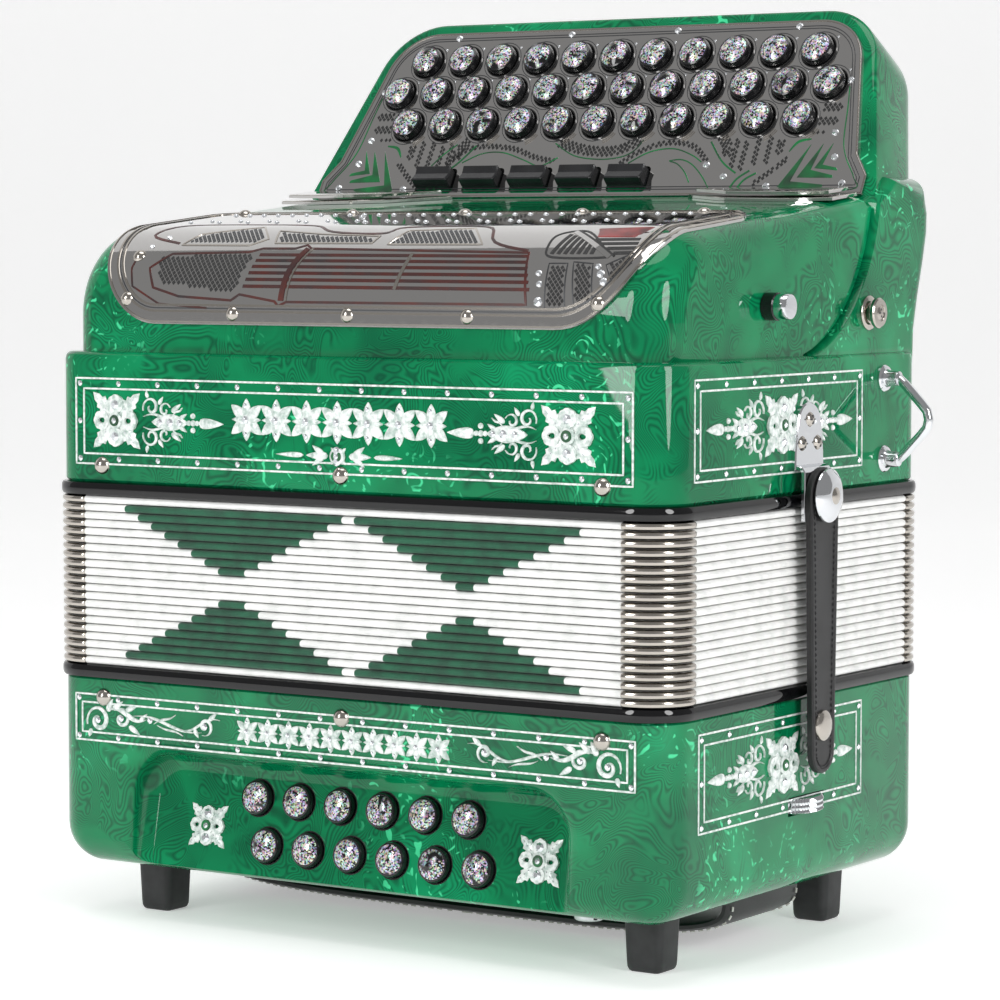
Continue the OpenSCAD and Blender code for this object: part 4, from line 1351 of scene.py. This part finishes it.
def strap_fittings():
    piece = Piece("strap_hardware", CHROME, NICKEL, ENGRAVED)
    x0 = SIDE_X
    # Bracket: a tapered plate with a round head, stepped out to carry the stud
    head = [(-11.5, 8), (11.5, 8), (11.2, 15)] + arc(0, 25, 9.6, 10, 170, 16) + [(-11.2, 15)]
    piece.add(stack(head, [(0, 0), (1.5, 0), (2, 0.5)]),
              lambda a, b, c: (x0 + c, STRAP_Y + a, RIG_Z + b))
    step = [(x0, RIG_Z + 10), (x0 + 3.0, RIG_Z + 10), (x0 + 4.8, RIG_Z + 9.2),
            (x0 + 6, RIG_Z + 7.4), (x0 + 6, STUD_Z - 10), (x0 + 4, STUD_Z - 10),
            (x0 + 4, RIG_Z + 7), (x0 + 3.4, RIG_Z + 7.8), (x0 + 2.4, RIG_Z + 8.2),
            (x0, RIG_Z + 8.2)]
    piece.add(stack(step, [(-11, 0.4), (-10.6, 0), (10.6, 0), (11, 0.4)]),
              lambda a, b, c: (a, STRAP_Y + c, b))
    stud = facing((x0, STRAP_Y, STUD_Z), (1, 0, 0))
    piece.add(lathe([(4, 5), (4, 11)], 28), stud)
    piece.add(lathe([(10.5, 10.2), (10.8, 10.6), (10.6, 11.2), (8.5, 12.6), (5.5, 13.6),
                     (3.6, 13.9)], 44), stud)
    piece.add(lathe([(3.4, 13.6)] + [(r, 13.9 + h) for r, h in dome_profile(3.4, 0.9)[1:]], 28),
              stud, 1)
    for y, z in ((0, 27.8), (-6.2, 18.5), (6.2, 18.5)):
        place = facing((x0 + 2, STRAP_Y + y, RIG_Z + z), (1, 0, 0))
        screw(piece, place, 3.0, 1.6, 1)
        cross_slot(piece, place, 1.8, 1.5, 2)
    # Bail on two flanged posts
    low, high = RIG_Z + 9, RIG_Z + 42
    mid, bail_x = (low + high) / 2, 171
    for z in (low, high):
        piece.add(lathe([(5.5, 0), (5.5, 1.0), (5.0, 1.7), (3.8, 2.1), (3.3, 3.2), (3.2, 6.4),
                         (2.9, 7.6), (1.8, 8.2)], 32), facing((x0, BAIL_Y, z), (1, 0, 0)))
    bend = [(x0 + 5.5, low), (x0 + 8, low + 0.6), (x0 + 10.5, low + 2.8),
            (bail_x - 3.4, mid - 6.4), (bail_x - 0.8, mid - 3.4), (bail_x, mid),
            (bail_x - 0.8, mid + 3.4), (bail_x - 3.4, mid + 6.4),
            (x0 + 10.5, high - 2.8), (x0 + 8, high - 0.6), (x0 + 5.5, high)]
    piece.add(tube([(x, BAIL_Y, z) for x, z in bend], 2.0, 16))
    # Strap pin on the cheek
    pin = facing((148, 56, Z_HOOD + 16.3), (1, 0, 0))
    piece.add(lathe([(7, -0.2), (7, 1.0), (6.2, 1.7), (4.6, 2.0), (4, 2.6), (4, 3.8),
                     (6.0, 4.0), (6.2, 4.4), (6.2, 5.4), (5.6, 6.0), (3.4, 6.3),
                     (3.2, 5.9)], 40), pin, 1)
    piece.add(lathe([(3.0, 5.0)] + [(r, 5.8 + h) for r, h in dome_profile(3.0, 0.8)[1:]], 24),
              pin, 1)
    cross_slot(piece, pin, 1.8, 6.5, 2)
    piece.ride("treble_end", "chrome_hardware", "strap_fittings")


def bellows_strap():
    """Folded leather strap with a stitched edge, on the bracket's stud, and its snap."""
    x0, tip = SIDE_X + 6.3, 80.5
    outline = (arc(STRAP_Y, tip, 8.5, 180, 360, 14) + arc(STRAP_Y, STUD_Z, 11, 0, 180, 16))
    piece = Piece("bellows_strap_leather", LEATHER, DARK_THREAD, NICKEL)
    hole = arc(STRAP_Y, STUD_Z, 4.2, 0, 345, 23)
    piece.add(pierced(dense(outline, 4, True), [hole], 0.5, 2.5),
              lambda a, b, c: (x0 + c, a, b))
    rim = dense(outline, 2.5, True)
    piece.add(strip(inset(rim, 0.9), 2.2, [(-1, 0.1), (-1, 0.6), (-1, 2.2), (-0.6, 2.85),
                                           (0, 3.0), (0.6, 2.85), (1, 2.4), (1, 0.5),
                                           (0.6, 0.15), (0, 0)], True),
              lambda a, b, c: (x0 + c, a, b))
    track = dense(inset(outline, 2.6), 2.4, True)
    for i in range(len(track)):
        (ay, az), (by, bz) = track[i - 1], track[i]
        dy, dz = (by - ay) * 0.3, (bz - az) * 0.3
        my, mz = (ay + by) / 2, (az + bz) / 2
        piece.add(tube([(x0 + 2.5, my - dy, mz - dz), (x0 + 2.95, my, mz),
                        (x0 + 2.5, my + dy, mz + dz)], 0.28, 6), None, 1)
    piece.add(lathe([(6, 2.4), (6.2, 2.8), (6, 3.6), (5.2, 4.2), (3, 4.5), (0.4, 4.6)], 36),
              facing((x0, STRAP_Y - 1, 91), (1, 0, 0)), 2)
    piece.ride("bellows_strap", "black_leather", "bellows_strap")


# ---- Ornament on the cases ----


def line_frame(piece, place, x0, x1, z0, z1, gap, gems_along, gems_up, pick=0, gem_pick=1):
    """Two white lines with crystals between them."""
    for d in (0, gap):
        box = [(x0 + d, z0 + d), (x1 - d, z0 + d), (x1 - d, z1 - d), (x0 + d, z1 - d)]
        piece.add(line(box, 0.75, 0.3, True), place, pick)
    m = gap / 2
    out = out_of(place)
    spots = [(x0 + m + (x1 - x0 - gap) * i / gems_along, z)
             for i in range(gems_along + 1) for z in (z0 + m, z1 - m)]
    spots += [(x, z0 + m + (z1 - z0 - gap) * i / gems_up)
              for i in range(1, gems_up) for x in (x0 + m, x1 - m)]
    for x, z in spots:
        piece.add(gem(1.05), facing(place(x, z, 0), out), gem_pick)


def spiral(cx, cy, r0, r1, a0, turns, n=26):
    return [(cx + (r0 + (r1 - r0) * i / n) * math.cos(math.radians(a0 + 360 * turns * i / n)),
             cy + (r0 + (r1 - r0) * i / n) * math.sin(math.radians(a0 + 360 * turns * i / n)))
            for i in range(n + 1)]


def wave(x0, y0, x1, y1, lift, n=18):
    """A lazy S between two points."""
    return [(x0 + (x1 - x0) * i / n,
             y0 + (y1 - y0) * i / n + lift * math.sin(2 * math.pi * i / n)) for i in range(n + 1)]


def scroll(piece, place, x, z, m, size=1.0, pick=0, gem_pick=1):
    """A leafy scroll 78 mm long, with its head at (x, z); m is 1 or -1 for its direction."""
    def at(u, v, h):
        return place(x + m * u * size, z + v * size, h)
    for skin in (stroke(spiral(7, -1, 6.4, 1.4, 200, -1.35), 2.3),
                 stroke(wave(12, 3.5, 34, 1, 1.6), 2.4),
                 stroke(spiral(20, 0.5, 4.6, 1.2, 120, -1.1), 1.8),
                 stroke(wave(26, 2, 64, -2.5, 1.2, 22), 1.5),
                 stroke(spiral(66, 0.2, 4.0, 1.0, 250, 1.15), 1.7),
                 stroke(wave(52, -2, 74, 3.5, -1.3), 1.3),
                 stroke(wave(38, -0.6, 50, 4.2, 0.5), 1.2),
                 stroke(wave(40, -1, 54, -4.6, -0.4), 1.1),
                 petal(12, 3, 62, 6.5, 3.0), petal(15, 4, 35, 7, 2.8), petal(22, 4, 20, 7, 2.4),
                 petal(3, -5, 250, 4, 2.2), petal(24, -2.5, -30, 7, 2.6),
                 petal(30, 0, 40, 5.5, 2.0), petal(60, -1, -60, 4.5, 2.0),
                 petal(68, 3, 40, 5.5, 2.2)):
        piece.add(skin, at, pick)
    out = out_of(place)
    for u, v in ((7, -1), (20, 0.5), (36, 0.8), (66, 0.2)):
        piece.add(gem(1.2), facing(at(u, v, 0.3), out), gem_pick)


def flower(piece, place, x, z, size=1.0, pick=0, gem_pick=1, eye=2):
    """Four serrated leaves and four scalloped petals about a green eye."""
    def at(u, v, h):
        return place(x + u * size, z + v * size, h)
    out = out_of(place)
    edge = [(3, 1.2), (5.5, 3.4), (7.6, 4.6), (8.2, 3.4), (10.4, 4.9), (11.4, 3.2), (13.6, 4.0),
            (14.6, 2.3), (17.2, 2.2), (20.6, 0)]
    for a in (43, 137, 223, 317):
        c, s = math.cos(math.radians(a)), math.sin(math.radians(a))
        ring = edge + [(u, -v) for u, v in edge[:-1]][::-1]
        piece.add(crown([(u * c - v * s, u * s + v * c) for u, v in ring], 1.0, 0.5), at, pick)
        for u in (8, 11.5, 15):
            piece.add(line([(u * c, u * s), ((u + 1) * c, (u + 1) * s)], 0.5, 1.12), at, gem_pick)
    for a in (0, 90, 180, 270):
        c, s = math.cos(math.radians(a)), math.sin(math.radians(a))
        far = 8.6 if a % 180 == 0 else 8.0
        petal_ring = []
        for i in range(40):
            t = 2 * math.pi * i / 40
            k = 4.7 + 0.45 * abs(math.cos(3.5 * t)) if abs(math.sin(t / 2)) < 0.93 else 4.5
            petal_ring.append((far + k * math.cos(t), k * 0.98 * math.sin(t)))
        drop = [(far - 0.6 + (2.3 + 0.5 * math.cos(2 * math.pi * i / 16)) * math.cos(
            2 * math.pi * i / 16), 1.5 * math.sin(2 * math.pi * i / 16)) for i in range(16)]
        turn = [(u * c - v * s, u * s + v * c) for u, v in petal_ring]
        hole = [(u * c - v * s, u * s + v * c) for u, v in drop]
        piece.add(pierced(turn, [hole] if a % 180 == 0 else [], 0.1, 1.25), at, pick)
        piece.add(strip(hole, 0.6, [(-1, 0.6), (0, 1.7), (1, 0.6)], True), at, pick)
        if a % 180:
            piece.add(gem(1.7), facing(at(far * c, far * s, 1.0), out), gem_pick)
    piece.add(lathe([(3.4, 0.2), (3.4, 1.4), (3.0, 1.7), (2.4, 1.7), (2.3, 1.3)], 24),
              facing(at(0, 0, 0), out), pick)
    piece.add(lathe(dome_profile(2.2, 0.5, 4, 0.9), 20), facing(at(0, 0, 1.2), out), eye)
    piece.add(gem(1.1), facing(at(0, 0, 1.8), out), gem_pick)


def arrow(piece, place, x, z, m, size=1.0, pick=0, gem_pick=1):
    """Curls, a crystal lozenge, beads and a spear that reach 58 mm from a flower's middle."""
    def at(u, v, h):
        return place(x + m * u * size, z + v * size, h)
    out = out_of(place)
    for up in (-1, 1):
        for skin in (stroke([(u, up * v) for u, v in spiral(19, 6.2, 4.4, 1.0, 200, -1.15)], 1.5),
                     stroke([(u, up * v) for u, v in spiral(26.5, 5.2, 3.2, 0.8, 20, 1.0)], 1.3),
                     stroke([(u, up * v) for u, v in wave(15, 2.2, 31, 3.4, 0.8)], 1.3),
                     stroke([(u, up * v) for u, v in wave(31, 3.2, 36, 6.4, 0.4)], 1.1),
                     petal(23, up * 7.4, up * 55, 4.2, 1.9, 0.8),
                     petal(30, up * 4.4, up * 35, 6.2, 2.4, 0.9),
                     petal(17, up * 10, up * 100, 3.4, 1.7, 0.8),
                     petal(34, up * 1.4, up * 30, 5.0, 2.0, 0.9)):
            piece.add(skin, at, pick)
        piece.add(lathe(dome_profile(1.2, 1.1), 14), facing(at(41.5, up * 3.0, 0), out), pick)
    piece.add(petal(19, 0, 0, 20, 7.2, 1.3, 1.0), at, pick)
    piece.add(petal(44.5, 0, 0, 13.5, 4.6, 1.1, 1.9), at, pick)
    for u, r in ((39.3, 1.1), (43.7, 1.1), (41.5, 1.3)):
        piece.add(lathe(dome_profile(r, 1.1), 14), facing(at(u, 0, 0), out), pick)
    for u, r in ((24.5, 1.25), (30, 1.5), (35, 1.1)):
        piece.add(gem(r), facing(at(u, 0, 1.1), out), gem_pick)


def garland(piece, place, x0, x1, z, size=1.0, pick=0, gem_pick=1):
    """A plain band of leaves and crystals along the middle of a frame."""
    count = max(3, round((x1 - x0) / (11.5 * size)))
    out = out_of(place)
    for i in range(count):
        x = x0 + (x1 - x0) * (i + 0.5) / count
        for a in (38, 142, 218, 322):
            piece.add(petal(x, z, a, 7.4 * size, 3.6 * size, 1.1, 1.2), place, pick)
        for a in (90, 270):
            piece.add(petal(x, z, a, 6.6 * size, 3.4 * size, 1.2, 1.2), place, pick)
        for a in (0, 180):
            piece.add(petal(x, z, a, 5.6 * size, 2.4 * size, 1.2), place, pick)
        piece.add(gem(1.05 * size), facing(place(x, z, 1.0), out), gem_pick)
        for up in (-1, 1):
            piece.add(gem(0.7 * size), facing(place(x, z + up * 4.4 * size, 0.9), out), gem_pick)


def ornament():
    top = Piece("treble_ornament", PEARL, CRYSTAL, GREEN_INK)
    line_frame(top, on_front, -135, 135, 190.4, 225.6, 4.2, 13, 2)
    line_frame(top, on_right, -85, 47.6, 191.4, 229.8, 4.2, 6, 2)
    for m in (-1, 1):
        flower(top, on_front, m * 110 - 3.6, 208.5, 0.82)
        arrow(top, on_front, m * 110 - 3.6, 208.4, -m, 0.96)
        arrow(top, on_right, -18.5, 210.6, m)
        for u, turn, long, wide in ((5, 90, 11, 3.4), (17, 90, 14, 2.2), (7, 55, 7, 2.6),
                                    (7, 125, 7, 2.6)):
            top.add(petal(m * u - 1, 197.4, 90 - m * turn, long, wide), on_front, 0)
    garland(top, on_front, -54, 51, 210.6, 1.3)
    flower(top, on_front, -1, 197.4, 0.24)
    flower(top, on_right, -18.5, 210.4, 0.86)
    top.ride("treble_end", "green_pearloid")
    low = Piece("bass_ornament", PEARL, CRYSTAL, GREEN_INK)
    line_frame(low, on_front, -136.3, 136.3, 75.4, 94.6, 3.4, 13, 1)
    line_frame(low, on_right, -81.2, 48.6, 57.5, 95.4, 4.2, 6, 2)
    for m in (-1, 1):
        scroll(low, on_front, m * 131, 85, -m, 0.95)
        arrow(low, on_right, -16.6, 76.6, m)
    flower(low, on_panel, -76.2, 42.6, 0.62)
    flower(low, on_panel, 86.1, 43, 0.66)
    garland(low, on_front, -52, 52, 85, 0.88)
    flower(low, on_right, -16.6, 76.6, 0.86)
    low.ride("bass_end", "green_pearloid")


# ---- Everything ----

bass_shell()
bass_buttons()
feet()
end_cover()
hand_strap()
strap_wheel()
for k in range(FOLDS):
    fold(k)
for k in range(FOLDS + 1):
    valley(k)
bellows_frame("lower_frame", Z_FRAME_LOW, Z_FOLDS, Z_FRAME_LOW - 7.8, "bass_end",
              "bellows_frame_lower")
bellows_frame("upper_frame", Z_FRAME_HIGH, Z_TREBLE, Z_TREBLE + 6.9, "treble_end",
              "bellows_frame_upper")
treble_band()
hood()
grille()
board_body()
board_plate()
treble_buttons()
register_tabs()
knob()
strap_fittings()
bellows_strap()
ornament()
for name in ("bass_reed_blocks", "treble_reed_blocks"):
    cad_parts[name].data.materials.clear()
    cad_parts[name].data.materials.append(WOOD)
